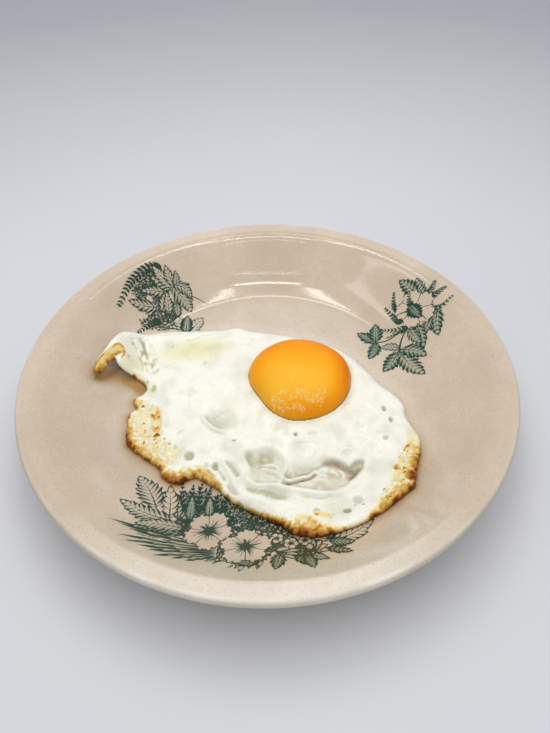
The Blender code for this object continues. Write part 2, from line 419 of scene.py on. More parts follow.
# %% Mix the glaze
def height_of(tree):
    """Each point's height above the table."""
    place = add_node(tree, "ShaderNodeTexCoord")
    split = add_node(tree, "ShaderNodeSeparateXYZ")
    tree.links.new(place.outputs["Object"], split.inputs["Vector"])
    return split.outputs["Z"]


def glaze_tone(tree):
    """The colour of the glazed clay, the same on the plate and its films, with
    painted light, painted shade, a painted lip highlight and painted warm shade where the points say so."""
    clouds = ramp(tree, grain(tree, CLOUD_SIZE, detail=4), [(0.35, GLAZE_DEEP), (0.62, GLAZE_PALE)])
    mottle = remap(tree, grain(tree, MOTTLE_SIZE, detail=5, roughness=0.7), 0.35, 0.65, 0.0, 0.45)
    tone = mix(tree, mottle, clouds, GLAZE_DEEP)
    specks = remap(tree, grain(tree, SPECK_SIZE, detail=1), 0.60, 0.74, 0.0, 0.55)
    tone = mix(tree, specks, tone, GLAZE_SPECK)
    # painted light, painted shade and a painted lip highlight, then painted warm shade
    tone = mix(tree, attribute(tree, "painted_light"), tone, PAINTED_LIGHT_TINT, blend="MULTIPLY")
    tone = mix(tree, attribute(tree, "painted_shade_and_spots"), tone, PAINTED_SHADE_TINT, blend="MULTIPLY")
    tone = mix(tree, attribute(tree, "lip_highlight"), tone, LIP_HIGHLIGHT_TONE)
    return mix(tree, attribute(tree, "warm_shade"), tone, WARM_SHADE_TINT, blend="MULTIPLY")


def make_glaze():
    """The plate's finish: glossy all over but for its bare foot."""
    finish, tree, shader = new_finish("beige_glaze")
    bare = remap(tree, height_of(tree), BARE_BELOW * 0.8, BARE_BELOW, 1.0, 0.0)
    tree.links.new(mix(tree, bare, glaze_tone(tree), BARE_CLAY), shader.inputs["Base Color"])
    gloss = remap(tree, bare, 0, 1, GLAZE_ROUGHNESS, BARE_ROUGHNESS)
    tree.links.new(mix(tree, attribute(tree, "worn"), gloss, RIM_ROUGHNESS), shader.inputs["Roughness"])
    bumps(tree, shader, grain(tree, WAVE_SIZE, detail=2), WAVE_DEPTH)
    return finish


plate = place_piece("stoneware_plate", plate_mesh, [make_glaze()], "plate")

# %% [markdown]
# ## The printed sprays
#
# Under the glaze lie three sprays of leaves and flowers in green, put on as
# transfers: thin printed films that are slid onto the clay. We make them the
# same way. Each film is a fine grid that follows the plate, on which motifs
# are stamped one over another. The stamps are formulas for a toothed leaf, a
# fern, a ruffled flower and so on. Each point stores how far it lies inside
# the ink, so that the finish can cut a crisp edge between the points.

# %% Draw smooth steps and curves
def smooth_step(low, high, value):
    """0 up to low, 1 from high on, and a smooth rise between them."""
    part = np.clip((value - low) / (high - low), 0.0, 1.0)
    return part * part * (3 - 2 * part)


def smooth_path(knots, steps, closed=True):
    """A Catmull-Rom curve through the knots, of any number of columns."""
    knots = np.asarray(knots, float)
    last = len(knots) - 1
    path = []
    for index in range(len(knots) if closed else last):
        picks = [index - 1, index, index + 1, index + 2]
        picks = [pick % len(knots) if closed else min(max(pick, 0), last) for pick in picks]
        before, start, end, after = knots[picks]
        for step in range(steps):
            t = step / steps
            path.append(0.5 * (2 * start + (end - before) * t
                               + (2 * before - 5 * start + 4 * end - after) * t ** 2
                               + (3 * start - before - 3 * end + after) * t ** 3))
    if not closed:
        path.append(knots[-1])
    return np.array(path)


print("halfway up a step:", smooth_step(0, 1, 0.5))

# %% Ready the film
INK_STEP = 0.28
LINE = 0.22


def ink(inside):
    """From a depth inside the ink, in millimetres, to its stored value."""
    return np.clip(0.5 + inside / (2 * INK_STEP), 0, 1)


class Film:
    """Points over a patch of the plate, in millimetres. Stamps change `line`,
    the dark ink, and `wash`, the paler one; 0.5 is the edge of the ink."""

    def __init__(self, left, right, front, back):
        self.left, self.front = left, front
        self.x, self.y = np.meshgrid(np.arange(left, right, INK_STEP), np.arange(front, back, INK_STEP))
        self.line = np.zeros(self.x.shape)
        self.wash = np.zeros(self.x.shape)

    def local(self, x, y, bearing, reach):
        """The part of the film within reach of (x, y), and its points as seen
        from there when facing along the bearing."""
        column = round((x - self.left) / INK_STEP)
        row = round((y - self.front) / INK_STEP)
        cells = int(reach / INK_STEP) + 3
        part = (slice(max(0, row - cells), max(0, row + cells)),
                slice(max(0, column - cells), max(0, column + cells)))
        turn = math.radians(bearing)
        dx, dy = self.x[part] - x, self.y[part] - y
        along = dx * math.cos(turn) + dy * math.sin(turn)
        return part, along, dy * math.cos(turn) - dx * math.sin(turn)

    def stamp(self, part, inside, line, wash, halo=0.0):
        """Cover what lies beneath wherever `inside`, in millimetres, is
        positive, and leave a bare rim of width halo round it."""
        cover = ink(inside + halo)
        self.line[part] += cover * (line - self.line[part])
        self.wash[part] += cover * (wash - self.wash[part])


print("one film point every", INK_STEP, "mm")

# %% Make the stamps for leaves
def leaf(film, x, y, bearing, length, width, bend=0.0, teeth=5, veins=6, dark=0.7, wash=0.6):
    """A toothed leaf whose stalk end is at (x, y). Bend bows its midrib, and
    dark is how much of it the hatching between the veins covers."""
    part, u, v = film.local(x, y, bearing, 1.1 * length)
    t = np.clip(u / length, 0, 1)
    v = v - bend * length * np.sin(math.pi * t)
    tooth = (t * teeth + 0.3) % 1.0
    half = 0.5 * width * np.sin(math.pi * t ** 0.8) ** 0.8 * (0.74 + 0.34 * tooth)
    inside = np.minimum(half - np.abs(v), np.minimum(u, length - u))
    out = np.abs(v) / np.maximum(half, 0.01)
    gap = length / veins
    from_vein = np.abs(((u - 0.9 * np.abs(v)) / gap) % 1.0 - 0.5)
    hatch = (dark * (0.07 + 0.46 * out ** 1.7) - from_vein) * 0.75 * gap
    drawn = np.maximum(1.3 * LINE - inside, LINE * (1.2 - t) - np.abs(v))
    drawn = np.maximum(drawn, hatch)
    film.stamp(part, inside, ink(drawn), wash * (0.45 + 0.9 * smooth_step(0.0, 0.6, out)), halo=0.15)


def blade(film, x, y, bearing, length, width, line=1.0, wash=1.0, halo=0.12):
    """A small plain leaf in one tone."""
    part, u, v = film.local(x, y, bearing, length)
    t = np.clip(u / length, 0, 1)
    half = 0.5 * width * np.sin(math.pi * t ** 0.75)
    inside = np.minimum(half - np.abs(v), np.minimum(u, length - u))
    film.stamp(part, inside, line * ink(inside), wash * ink(inside), halo)


print("leaf stamps ready")

# %% Make the stamps for ferns
def stalk(film, knots, width):
    """A dark line along a curved path that thins to its end."""
    path = smooth_path(knots, 5, closed=False)
    for index, (start, end) in enumerate(zip(path, path[1:])):
        length = math.dist(start, end)
        part, u, v = film.local(*start, math.degrees(math.atan2(*(end - start)[::-1])), length + width)
        away = np.hypot(u - np.clip(u, 0, length), v)
        line = ink(0.5 * width * (1 - 0.6 * index / len(path)) - away)
        film.line[part] = np.maximum(film.line[part], line)


def frond(film, knots, pairs, reach, spread=52, fat=0.36, halo=0.08):
    """A fern: pairs of small leaves that shrink along a curved stalk."""
    path = smooth_path(knots, 6, closed=False)
    for step in range(pairs + 1):
        t = step / pairs
        place = t * (len(path) - 1.001)
        start, end = path[int(place)], path[int(place) + 1]
        spot = start + (place - int(place)) * (end - start)
        facing = math.degrees(math.atan2(end[1] - start[1], end[0] - start[0]))
        size = reach * (1 - 0.55 * t)
        for side in (-1, 1):
            blade(film, *spot, facing + side * (spread - 12 * t), size, size * fat, halo=halo)
    blade(film, *path[-1], facing, reach * 0.5, reach * 0.2, halo=halo)
    stalk(film, knots, 0.40)


print("fern stamps ready")

# %% Fill the ground between the leaves
def leaflet(film, x, y, bearing, length, width, wash=0.0):
    """A small leaf drawn with an outline and a midrib only."""
    part, u, v = film.local(x, y, bearing, length)
    t = np.clip(u / length, 0, 1)
    half = 0.5 * width * np.sin(math.pi * t ** 0.75)
    inside = np.minimum(half - np.abs(v), np.minimum(u, length - u))
    drawn = np.maximum(1.1 * LINE - inside, np.minimum(0.5 * LINE - np.abs(v), 0.8 * length - u))
    film.stamp(part, inside, ink(drawn), np.full(u.shape, wash), halo=0.10)


def undergrowth(film, ovals, count, seed, facing, sizes=(1.6, 3.4), ground=0.9):
    """Fill ovals (x, y, half length, half width, bearing) with dark ink and
    random small leaves on it: outlined ones, washed ones and dark ones."""
    random = np.random.default_rng(seed)
    for x, y, long, wide, bearing in ovals:
        part, u, v = film.local(x, y, bearing, max(long, wide))
        ragged = 0.9 * np.sin(2.1 * u + 1.7 * v) * np.sin(1.3 * v - 2.4 * u)
        inside = (1 - np.hypot(u / long, v / wide)) * min(long, wide) + ragged
        film.stamp(part, inside, ground, 1.0, halo=-0.8)
    for _ in range(count):
        x, y, long, wide, bearing = ovals[random.integers(len(ovals))]
        away, angle = math.sqrt(random.random()), random.uniform(0, 2 * math.pi)
        along, aside = long * away * math.cos(angle), wide * away * math.sin(angle)
        turn = math.radians(bearing)
        spot = (x + along * math.cos(turn) - aside * math.sin(turn),
                y + along * math.sin(turn) + aside * math.cos(turn))
        size = random.uniform(*sizes)
        way = facing + random.uniform(-70, 70)
        kind = random.random()
        if kind < 0.6:
            leaflet(film, *spot, way, size, size * random.uniform(0.40, 0.62), wash=0.8 * (kind < 0.2))
        else:
            blade(film, *spot, way, size, size * random.uniform(0.26, 0.40), halo=0.14)


print("undergrowth ready")

# %% Make the stamps for flowers
def blossom(film, x, y, radius, petals=5, turn=0.0, squash=1.0, heart=0.4, rays=20):
    """A ruffled flower, left bare but for its outline, its dark heart and the
    fine rays that run out from it."""
    part, u, v = film.local(x, y, turn, 1.2 * radius)
    v = v / squash
    away, angle = np.hypot(u, v), np.arctan2(v, u)
    lobe = np.abs(np.cos(0.5 * petals * angle))
    ruffle = 0.045 * np.sin(4 * petals * angle + 1.3) + 0.030 * np.sin(7 * petals * angle)
    ruffle = ruffle + 0.05 * np.sin(2 * angle + 0.6)
    edge = radius * (0.72 + 0.28 * lobe ** 0.6 + ruffle)
    inside = edge - away
    between = np.minimum(0.8 * LINE - away * lobe * 2 / petals, away - 0.35 * radius)
    reach = radius * (heart + 0.14 * np.sin(petals * angle + 2.2) + 0.12 * np.sin(9 * angle + 1))
    streak = 0.6 * (1 - away / np.maximum(reach, 0.1)) - away * np.abs(np.sin(6.5 * angle + 0.3)) * 2 / 13
    dark_heart = np.maximum(min(0.2, heart) * radius - away, np.minimum(streak, reach - away))
    drawn = np.maximum.reduce([0.9 * LINE - inside, between, dark_heart])
    if rays:
        ray = LINE * 0.6 - away * np.abs(np.sin(0.5 * rays * angle)) * 2 / rays
        drawn = np.maximum(drawn, np.minimum(ray, radius * (0.54 + 0.12 * np.sin(3 * angle + 1)) - away))
    film.stamp(part, inside, ink(drawn), 0.5 * ink(0.8 * reach - away), halo=0.25)


def petal(film, x, y, bearing, length, width, lines=2, wash=0.0, weight=1.0):
    """One smooth petal with an outline and a few lines along it."""
    part, u, v = film.local(x, y, bearing, length)
    t = np.clip(u / length, 0, 1)
    half = 0.5 * width * np.sin(math.pi * t ** 0.66) ** 0.55
    inside = np.minimum(half - np.abs(v), np.minimum(u, length - u))
    drawn = 1.5 * LINE * weight - inside
    if lines:
        across = v / np.maximum(half, 0.01) * (lines + 1) / 2
        strip = np.abs((across + 0.5 * lines + 0.5) % 1.0 - 0.5) * 2 / (lines + 1) * half
        strip = np.where(np.abs(across) < lines / 2, strip, 1.0)
        drawn = np.maximum(drawn, np.minimum(LINE * 0.8 * weight - strip, 0.6 * length - u))
    film.stamp(part, inside, ink(drawn), np.full(u.shape, wash), halo=0.15)


print("flower stamps ready")

# %% Print the right spray
right_film = Film(41, 89, 1, 60)
frond(right_film, [(74.5, 43), (78, 45.5), (80.2, 49.2)], 7, 3.6, spread=44)
frond(right_film, [(75.5, 41.5), (80.2, 42.6), (84.0, 44.8)], 7, 3.6, spread=44)
frond(right_film, [(75, 39), (78, 35.8), (82, 35.4), (85.8, 38.2)], 8, 3.2, spread=44)
leaf(right_film, 75.0, 44.0, 103, 10.5, 5.2, bend=0.05, dark=0.9)
leaf(right_film, 71.8, 45.8, 122, 12.6, 6.2, bend=-0.05, dark=0.95, teeth=6)
leaf(right_film, 79.6, 34.5, -97, 13.5, 6.0, bend=-0.07, dark=1.0)
leaf(right_film, 76.0, 31.5, -122, 8.0, 5.0, bend=0.04, dark=1.0, teeth=4)
leaf(right_film, 70.0, 31.5, -84, 14.0, 5.0, bend=0.04, dark=0.85)
leaf(right_film, 67.0, 31.0, -70, 11.0, 4.8, bend=-0.05, dark=0.6)
frond(right_film, [(66.5, 31.2), (61, 32.2), (56.0, 33.8)], 7, 3.6, spread=44, fat=0.3)
frond(right_film, [(66, 30.6), (61, 30.2), (57.5, 29.2)], 6, 2.8, spread=38, fat=0.3)
frond(right_film, [(64.5, 35), (61.5, 38.5), (58.2, 44.6)], 8, 3.4, spread=36, fat=0.5)
frond(right_film, [(64.2, 41), (61.8, 45), (62.2, 50.8)], 9, 2.8, spread=40, fat=0.5)
leaf(right_film, 51.5, 27.5, 141, 10.4, 6.8, dark=0.95, teeth=4, wash=0.9)
leaf(right_film, 51.4, 27.6, 84, 10.8, 7.0, dark=0.95, teeth=5, wash=0.9)
leaf(right_film, 51.8, 27.0, -116, 11.2, 5.8, bend=0.05, dark=0.9, teeth=4, wash=0.9)
stalk(right_film, [(51.5, 27), (56.5, 27.4), (61.5, 29.8), (66, 31.6)], 0.8)
leaf(right_film, 62.0, 21.4, 166, 9.4, 4.8, bend=-0.10, dark=0.5, wash=0.4)
leaf(right_film, 60.8, 19.8, -127, 14.0, 7.4, bend=0.04, dark=0.9, teeth=6, wash=0.8)
leaf(right_film, 61.4, 19.0, -62, 17.6, 8.4, bend=-0.05, dark=0.85, teeth=7, veins=8, wash=0.5)
leaf(right_film, 62.0, 20.8, -38, 12.5, 7.6, bend=0.10, dark=0.8, teeth=6, wash=0.7)
stalk(right_film, [(61.2, 19.8), (62.6, 25), (65, 29.5), (67.5, 32)], 0.9)
print("right spray", right_film.x.size, "points")

# %% Add the right spray's flower
blossom(right_film, 70.6, 39.4, 9.4, turn=98, squash=0.92, heart=0.0, rays=0)
leaf(right_film, 68.2, 42.4, -63, 9.4, 6.6, teeth=7, veins=9, dark=1.6, wash=1.0)
frond(right_film, [(69.0, 42), (68.4, 45), (69.0, 48.6)], 6, 2.2, fat=0.5)
stalk(right_film, [(68.4, 39.5), (65.6, 40.0), (62.8, 39.8)], 0.8)
stalk(right_film, [(72.0, 36.0), (73.6, 33.6), (74.4, 31.6)], 0.6)
print("flower printed")

# %% Print the left spray
left_film = Film(-75, -28, 31, 72)
undergrowth(left_film, [(-58.5, 60.5, 8, 4.6, 35), (-62, 55, 5, 3.2, 60), (-54, 56, 5, 4, 60)],
            230, 5, 230, (1.6, 2.6))
frond(left_film, [(-54, 67.6), (-60.5, 65.6), (-66.0, 59.0), (-69.0, 52), (-71.2, 43.4)], 15, 4.2, fat=0.50,
      halo=0.16)
leaf(left_film, -47.6, 60.0, 168, 12.0, 5.6, bend=0.05, dark=0.7, wash=0.7)
leaf(left_film, -47.4, 60.4, 146, 13.4, 6.6, bend=0.05, teeth=7, veins=8, dark=0.6, wash=0.5)
leaf(left_film, -47.2, 60.8, 120, 10.8, 5.4, bend=0.04, dark=0.7, wash=0.5)
leaf(left_film, -46.8, 60.8, 95, 8.2, 4.2, bend=-0.04, dark=0.9, wash=0.7)
undergrowth(left_film, [(-53, 46, 10, 3.6, 80), (-56, 40, 6.5, 3.4, 45), (-49, 43, 7, 3.6, 70)],
            260, 3, 60, (1.6, 3.0))
frond(left_film, [(-53, 42), (-57, 38.5), (-61.8, 33.0)], 9, 3.4, fat=0.46)
leaf(left_film, -51.0, 57.2, 196, 12.6, 5.0, bend=-0.04, dark=0.8)
leaf(left_film, -55.2, 48.4, 187, 12.8, 7.2, bend=0.05, dark=1.0, teeth=4)
leaf(left_film, -52.5, 47.0, 84, 11.5, 4.8, dark=0.55, wash=0.4)
leaf(left_film, -49.2, 46.5, 100, 11.5, 4.6, dark=0.65, wash=0.4)
leaf(left_film, -46.4, 54.2, -80, 9.0, 4.8, dark=0.9, wash=1.0)
leaf(left_film, -48.0, 61.0, -50, 14.6, 9.0, bend=0.06, teeth=4, veins=7, dark=0.75, wash=0.9)
leaf(left_film, -47.6, 62.2, -28, 10.0, 6.6, bend=0.20, teeth=3, dark=0.8, wash=0.9)
stalk(left_film, [(-39.4, 58.8), (-35.5, 57.8), (-31, 55.8)], 0.6)
print("left spray", left_film.x.size, "points")

# %% Add the left spray's bud
leaf(left_film, -41.0, 36.6, 118, 11.0, 6.4, teeth=2, veins=5, dark=0.5, wash=0.4)
leaf(left_film, -38.6, 36.6, 60, 11.6, 7.4, teeth=2, veins=5, dark=0.45, wash=0.2)
leaf(left_film, -40.4, 36.0, 90, 11.4, 6.4, teeth=2, veins=8, dark=1.4, wash=1.0)
stalk(left_film, [(-44.8, 46.6), (-47.0, 43.4), (-49.0, 39.5)], 0.8)
left_film.wash *= 0.5
print("bud printed")

# %% Print the front spray
front_film = Film(-56, 40, -91, -44)
STROKE_TIPS = ((-53.2, -71.0), (-50.4, -73.2), (-47, -74.6), (-48.2, -77.2), (-46.6, -79.2), (-43.5, -79.6),
               (-42, -82.0), (-38.5, -83.2), (-36, -84.8), (-30.5, -85.6), (-26, -86.6))
undergrowth(front_film, [(-33, -75.4, 9, 3.0, -14), (-22, -82.5, 9, 2.6, -14), (-38, -72.6, 5, 2.2, -10)],
            170, 11, 168, (2.2, 4.6))
undergrowth(front_film, [(-26, -59, 8, 6.5, 0), (-20, -62, 6, 5, -50)], 260, 13, 95, (1.8, 3.8))
undergrowth(front_film, [(-8, -66.5, 10, 5.0, -22), (1, -70, 7, 5, -30), (-14, -62, 5, 4, -40)],
            430, 14, 60, (1.4, 2.8))
undergrowth(front_film, [(4, -76, 6, 4.5, -20), (10, -80, 8, 4.2, -10), (-14, -76.5, 3, 5, 0)],
            240, 15, 40, (1.4, 2.8))
undergrowth(front_film, [(-20.5, -71.5, 12, 11, 0), (-8, -78.5, 11, 9.5, 0)], 420, 16, 200, (1.6, 3.2))
for number, (tip_x, tip_y) in enumerate(STROKE_TIPS):
    for start, end, width in ((0.0, 0.5, 1.2), (0.25, 0.8, 1.3), (0.5, 1.0, 1.2)):
        way = np.array((-17 - tip_x, -79 - 0.55 * number - tip_y))
        root = (tip_x, tip_y + 0.5 * start) + end * way
        bearing = math.degrees(math.atan2(-way[1], -way[0]))
        blade(front_film, *root, bearing + 3 * math.sin(5 * number), (end - start) * np.hypot(*way), width,
              halo=0.24)
for x, tip_x, tip_y in ((-30.5, -32.6, -49.6), (-27.5, -28.6, -50.4), (-25.0, -25.4, -49.8),
                        (-22.6, -22.0, -51.2), (-19.5, -18.4, -54.4), (-16.5, -14.6, -57.2)):
    frond(front_film, [(x, -62), (0.4 * x + 0.6 * tip_x - 0.5, -56), (tip_x, tip_y)], 6, 3.4,
          spread=32, fat=0.42)
leaf(front_film, -21.5, -64.0, 92, 9.5, 3.6, dark=0.35, wash=0.6)
leaf(front_film, -28.0, -66.5, 92, 12.5, 3.8, dark=0.3, wash=0.7)
leaf(front_film, -32.0, -66.5, 100, 13.0, 3.8, dark=0.5, wash=0.4)
leaf(front_film, -34.8, -66.5, 98, 17.2, 6.0, teeth=7, dark=0.45, wash=0.0)
leaf(front_film, -40.2, -61.6, 121, 17.6, 9.6, bend=-0.04, teeth=7, veins=9, dark=0.72, wash=0.2)
leaf(front_film, -34.5, -67.5, 159, 19.4, 8.0, bend=0.06, teeth=7, veins=10, dark=0.72, wash=0.3)
leaf(front_film, -29.0, -74.2, 176, 17.0, 5.4, bend=-0.08, teeth=5, veins=9, dark=0.9, wash=0.8)
leaf(front_film, -29.5, -71.0, 181, 15.6, 6.6, bend=-0.06, teeth=5, veins=9, dark=0.65, wash=0.3)
print("front spray", front_film.x.size, "points")

# %% Add the front spray's flowers and its right end
leaf(front_film, 20.8, -77.6, 29, 18.4, 6.8, bend=-0.06, teeth=1, veins=8, dark=0.5, wash=0.1)
leaf(front_film, 21.5, -76.6, 157, 9.0, 3.6, teeth=1, veins=4, dark=0.4, wash=0.0)
leaf(front_film, 20.2, -75.8, 62, 6.4, 2.8, teeth=1, veins=4, dark=0.4, wash=0.0)
leaf(front_film, 20.8, -77.4, -9, 8.0, 5.2, dark=1.1, wash=0.9, teeth=4)
leaf(front_film, 19.4, -80.6, -18, 8.4, 3.6, dark=1.1, wash=0.9, teeth=3)
leaf(front_film, 4.2, -82.2, -104, 7.6, 5.2, dark=1.1, wash=0.9, teeth=4)
leaf(front_film, 8.6, -84.0, -28, 8.0, 3.8, dark=1.0, wash=0.9, teeth=3)
leaf(front_film, 12.8, -83.5, -72, 6.2, 4.6, dark=1.0, wash=0.9, teeth=4)
leaf(front_film, 14.0, -83.2, -24, 6.4, 3.0, dark=0.7, wash=0.5, teeth=1)
for bearing in (-34, -18, -2, 14):
    petal(front_film, 2.6, -80.4, bearing, 8.2, 2.3, lines=1, wash=0.3)
for bearing in (-10, 18, 50, 84, 116):
    petal(front_film, 14.6, -80.6, bearing, 5.6, 2.9, lines=1, wash=0.2, weight=1.2)
for x, y, radius, turn in ((7.8, -77.0, 2.7, 65), (12.6, -75.8, 2.5, 50), (3.0, -74.2, 2.5, 40)):
    blossom(front_film, x, y, radius, turn=turn, rays=10, heart=0.3)
leaf(front_film, -3.4, -86.6, 176, 7.4, 3.4, dark=0.9, wash=0.9)
blossom(front_film, -20.6, -71.2, 9.6, turn=64, squash=0.84, heart=0.47)
blossom(front_film, -7.4, -78.4, 8.8, turn=20, squash=0.96, heart=0.44)
print("flowers printed")

# %% Mix the printed glaze
INK_DARK = (0.008, 0.036, 0.022)
INK_PALE = (0.125, 0.205, 0.145)


def paint(mesh, name, values):
    """Store one value for each point of the mesh, for its material to read."""
    layer = mesh.attributes.new(name, "FLOAT", "POINT")
    layer.data.foreach_set("value", np.clip(values, 0, 1).astype(np.float32))


def make_print():
    """The films' finish: two tones of ink over the same glaze."""
    finish, tree, shader = new_finish("printed_glaze")
    washed = mix(tree, attribute(tree, "ink_wash"), glaze_tone(tree), INK_PALE)
    line = remap(tree, attribute(tree, "ink_line"), 0.3, 0.7)
    inked = mix(tree, remap(tree, line, 0, 1, 0, 0.96), washed, INK_DARK)
    tree.links.new(inked, shader.inputs["Base Color"])
    set_inputs(shader, Roughness=GLAZE_ROUGHNESS, Specular_IOR_Level=0.35)
    bumps(tree, shader, grain(tree, WAVE_SIZE, detail=2), WAVE_DEPTH)
    return finish


print_finish = make_print()
print("mixed", print_finish.name)

# %% Lay the films on the plate
FILM_LIFT = 0.04 * MM
FILM_THICKNESS = 0.03 * MM
LEAST_INK = 0.03


def lay_film(name, film, finish):
    """Turn the inked cells of a film into a thin skin that follows the plate."""
    inked = (film.line > LEAST_INK) | (film.wash > LEAST_INK)
    kept = inked.copy()
    for axis in (0, 1):
        kept |= np.roll(inked, 1, axis) | np.roll(inked, -1, axis)
    rows, columns = kept.shape
    bm = bmesh.new()
    bmesh.ops.create_grid(bm, x_segments=columns - 1, y_segments=rows - 1, size=1)
    bare = []
    for index, vert in enumerate(bm.verts):
        row, column = divmod(index, columns)
        x, y = film.x[row, column] * MM, film.y[row, column] * MM
        vert.co = (x, y, plate_top(math.hypot(x, y)) + FILM_LIFT)
        if not kept[row, column]:
            bare.append(vert)
    bmesh.ops.delete(bm, geom=bare, context="VERTS")
    bmesh.ops.delete(bm, geom=[vert for vert in bm.verts if not vert.link_faces], context="VERTS")
    bmesh.ops.recalc_face_normals(bm, faces=bm.faces)
    bmesh.ops.solidify(bm, geom=bm.faces, thickness=FILM_THICKNESS)
    mesh = bpy.data.meshes.new(name)
    bm.to_mesh(mesh)
    bm.free()
    spots = np.empty(3 * len(mesh.vertices))
    mesh.vertices.foreach_get("co", spots)
    spots = spots.reshape(-1, 3) / MM
    column = np.clip(np.round((spots[:, 0] - film.left) / INK_STEP).astype(int), 0, columns - 1)
    row = np.clip(np.round((spots[:, 1] - film.front) / INK_STEP).astype(int), 0, rows - 1)
    paint(mesh, "ink_line", film.line[row, column])
    paint(mesh, "ink_wash", film.wash[row, column])
    return place_piece(name, mesh, [finish])


films = [
    lay_film("print_right", right_film, print_finish),
    lay_film("print_left", left_film, print_finish),
    lay_film("print_front", front_film, print_finish),
]

# %% [markdown]
# ## The white's outline
#
# An egg poured into hot oil sets in the shape it runs to, so no formula gives
# its outline. We pick the points that the shape needs, clockwise: clean round
# back edge, right flank, browned front, lacy left side, and the tail with its
# hooked tip. Each knot also says how wide the crust is there and how far it
# has browned, so the same smooth curve carries shape and toasting together.

# %% Draw the outline
# x and y in millimetres, crust width in millimetres, toasting from 0 to 1
OUTLINE = [
    (-59.5, 30, 0.5, 0.0), (-48, 34, 0.4, 0.0), (-34, 35.2, 0.4, 0.0), (-22, 35.6, 0.4, 0.0),
    (-15, 37.2, 0.4, 0.0), (-8, 34.6, 0.4, 0.0), (5, 32, 0.4, 0.0), (17, 28.4, 0.4, 0.0),
    (28, 24, 0.4, 0.0), (37, 17.5, 0.4, 0.0), (44.5, 7.5, 0.4, 0.0), (50, -1.5, 0.4, 0.0),
    (54.5, -6.5, 0.4, 0.05), (57.5, -13, 0.5, 0.1), (57.5, -20, 0.6, 0.1),
    (60, -30, 1.0, 0.3), (59.6, -36, 1.8, 0.6), (57.7, -42.5, 2.8, 0.75), (55.3, -50, 3.6, 0.9),
    (53.2, -55.4, 3.0, 0.85), (46.2, -61.6, 3.2, 0.9), (37.4, -67.8, 1.8, 0.7), (31.7, -70.9, 0.8, 0.25),
    (25, -73.2, 1.6, 0.5), (17, -74.8, 5.6, 1.0), (9.6, -73.0, 5.0, 1.0), (5.0, -68.4, 2.4, 0.8),
    (-3.4, -63.4, 0.9, 0.5), (-13, -57.4, 0.9, 0.55), (-18, -52.6, 1.6, 0.65), (-22, -49.5, 2.8, 0.8),
    (-28.5, -46.3, 3.4, 0.75), (-34.5, -49.3, 4.0, 1.0), (-40, -47, 3.4, 0.95),
    (-43, -42, 2.2, 0.6), (-50, -37, 2.4, 0.75), (-56, -32, 2.8, 1.0), (-57.8, -26, 2.0, 0.8),
    (-58.3, -20.5, 1.2, 0.5), (-58.8, -17, 1.4, 0.75), (-56, -12.5, 1.4, 0.45), (-58, -8.5, 1.8, 0.7),
    (-53.5, -3, 1.0, 0.4), (-55, 1.4, 0.7, 0.35), (-59.2, 4.8, 0.6, 0.4), (-64.3, 6.0, 0.5, 0.1),
    (-66.6, 7.8, 0.5, 0.0), (-66.8, 10.6, 0.8, 0.3), (-68.9, 7.0, 1.2, 0.6), (-71.2, 2.6, 1.6, 0.7),
    (-73.6, 0.6, 1.8, 0.9), (-75, 2.2, 1.2, 0.7), (-72.3, 9.8, 0.5, 0.15), (-69.9, 18.2, 0.4, 0.0),
    (-66.3, 24.6, 0.4, 0.0),
]
OUTLINE_STEPS = 10
FRILL_DEPTH = 0.75 * MM
FRILL_LENGTH = 2.6 * MM


def roughness_at(points, wavelength, seed):
    """Smooth noise at each point, between about -1 and 1."""
    shift = Vector((7.3 * seed, 3.1 * seed, 1.7 * seed))
    return np.array([noise.noise(Vector((x, y, 0)) / wavelength + shift) for x, y in points[:, :2]])


outline = smooth_path(OUTLINE, OUTLINE_STEPS)
edge_loop = outline[:, :2] * MM
edge_crust = np.maximum(outline[:, 2], 0.1) * MM
edge_toast = np.clip(outline[:, 3], 0, 1)
tangent = np.roll(edge_loop, -1, axis=0) - np.roll(edge_loop, 1, axis=0)
tangent /= np.linalg.norm(tangent, axis=1, keepdims=True)
outward = np.stack([-tangent[:, 1], tangent[:, 0]], 1)
frill = roughness_at(edge_loop, FRILL_LENGTH, 1) + 0.6 * roughness_at(edge_loop, FRILL_LENGTH / 2.2, 2)
edge_loop = edge_loop + outward * (FRILL_DEPTH * edge_toast * frill)[:, None]
print("outline points", len(edge_loop))

# %% [markdown]
# ## The white's body
#
# The outline is filled with one face and extruded into a slab. A voxel remesh
# then gives it an even net of small quads, fine enough to hold bubbles and
# creases, with a proper side wall. From there on we only move points, as a
# sculptor would: each point knows whether it is on top, underneath or on the
# wall, and takes its height from formulas.

# %% Cut the slab and remesh it
SLAB = 1.6 * MM
VOXEL = 0.47 * MM


def remeshed(bm, voxel):
    """The bmesh's shape as an even net of quads."""
    mesh = bpy.data.meshes.new("rough")
    bm.to_mesh(mesh)
    bm.free()
    rough = bpy.data.objects.new("rough", mesh)
    bpy.context.scene.collection.objects.link(rough)
    net = rough.modifiers.new("net", "REMESH")
    net.mode = "VOXEL"
    net.voxel_size = voxel
    graph = bpy.context.evaluated_depsgraph_get()
    result = bpy.data.meshes.new_from_object(rough.evaluated_get(graph))
    bpy.data.objects.remove(rough)
    return result


bm = bmesh.new()
face = bm.faces.new([bm.verts.new((x, y, -SLAB / 2)) for x, y in edge_loop])
grown = bmesh.ops.extrude_face_region(bm, geom=[face])
raised = [item for item in grown["geom"] if isinstance(item, bmesh.types.BMVert)]
bmesh.ops.translate(bm, verts=raised, vec=(0, 0, SLAB))
bmesh.ops.recalc_face_normals(bm, faces=bm.faces)
white_mesh = remeshed(bm, VOXEL)
white_mesh.name = "fried_white"
points = np.empty(3 * len(white_mesh.vertices))
white_mesh.vertices.foreach_get("co", points)
points = points.reshape(-1, 3)
share = np.clip(points[:, 2] / (SLAB / 2), -1, 1)
share[share > 0.8] = 1.0
share[share < -0.8] = -1.0
plan = points[:, :2].copy()
print("white", len(points), "points")

# %% Measure each point's way to the edge
CHUNK = 3000


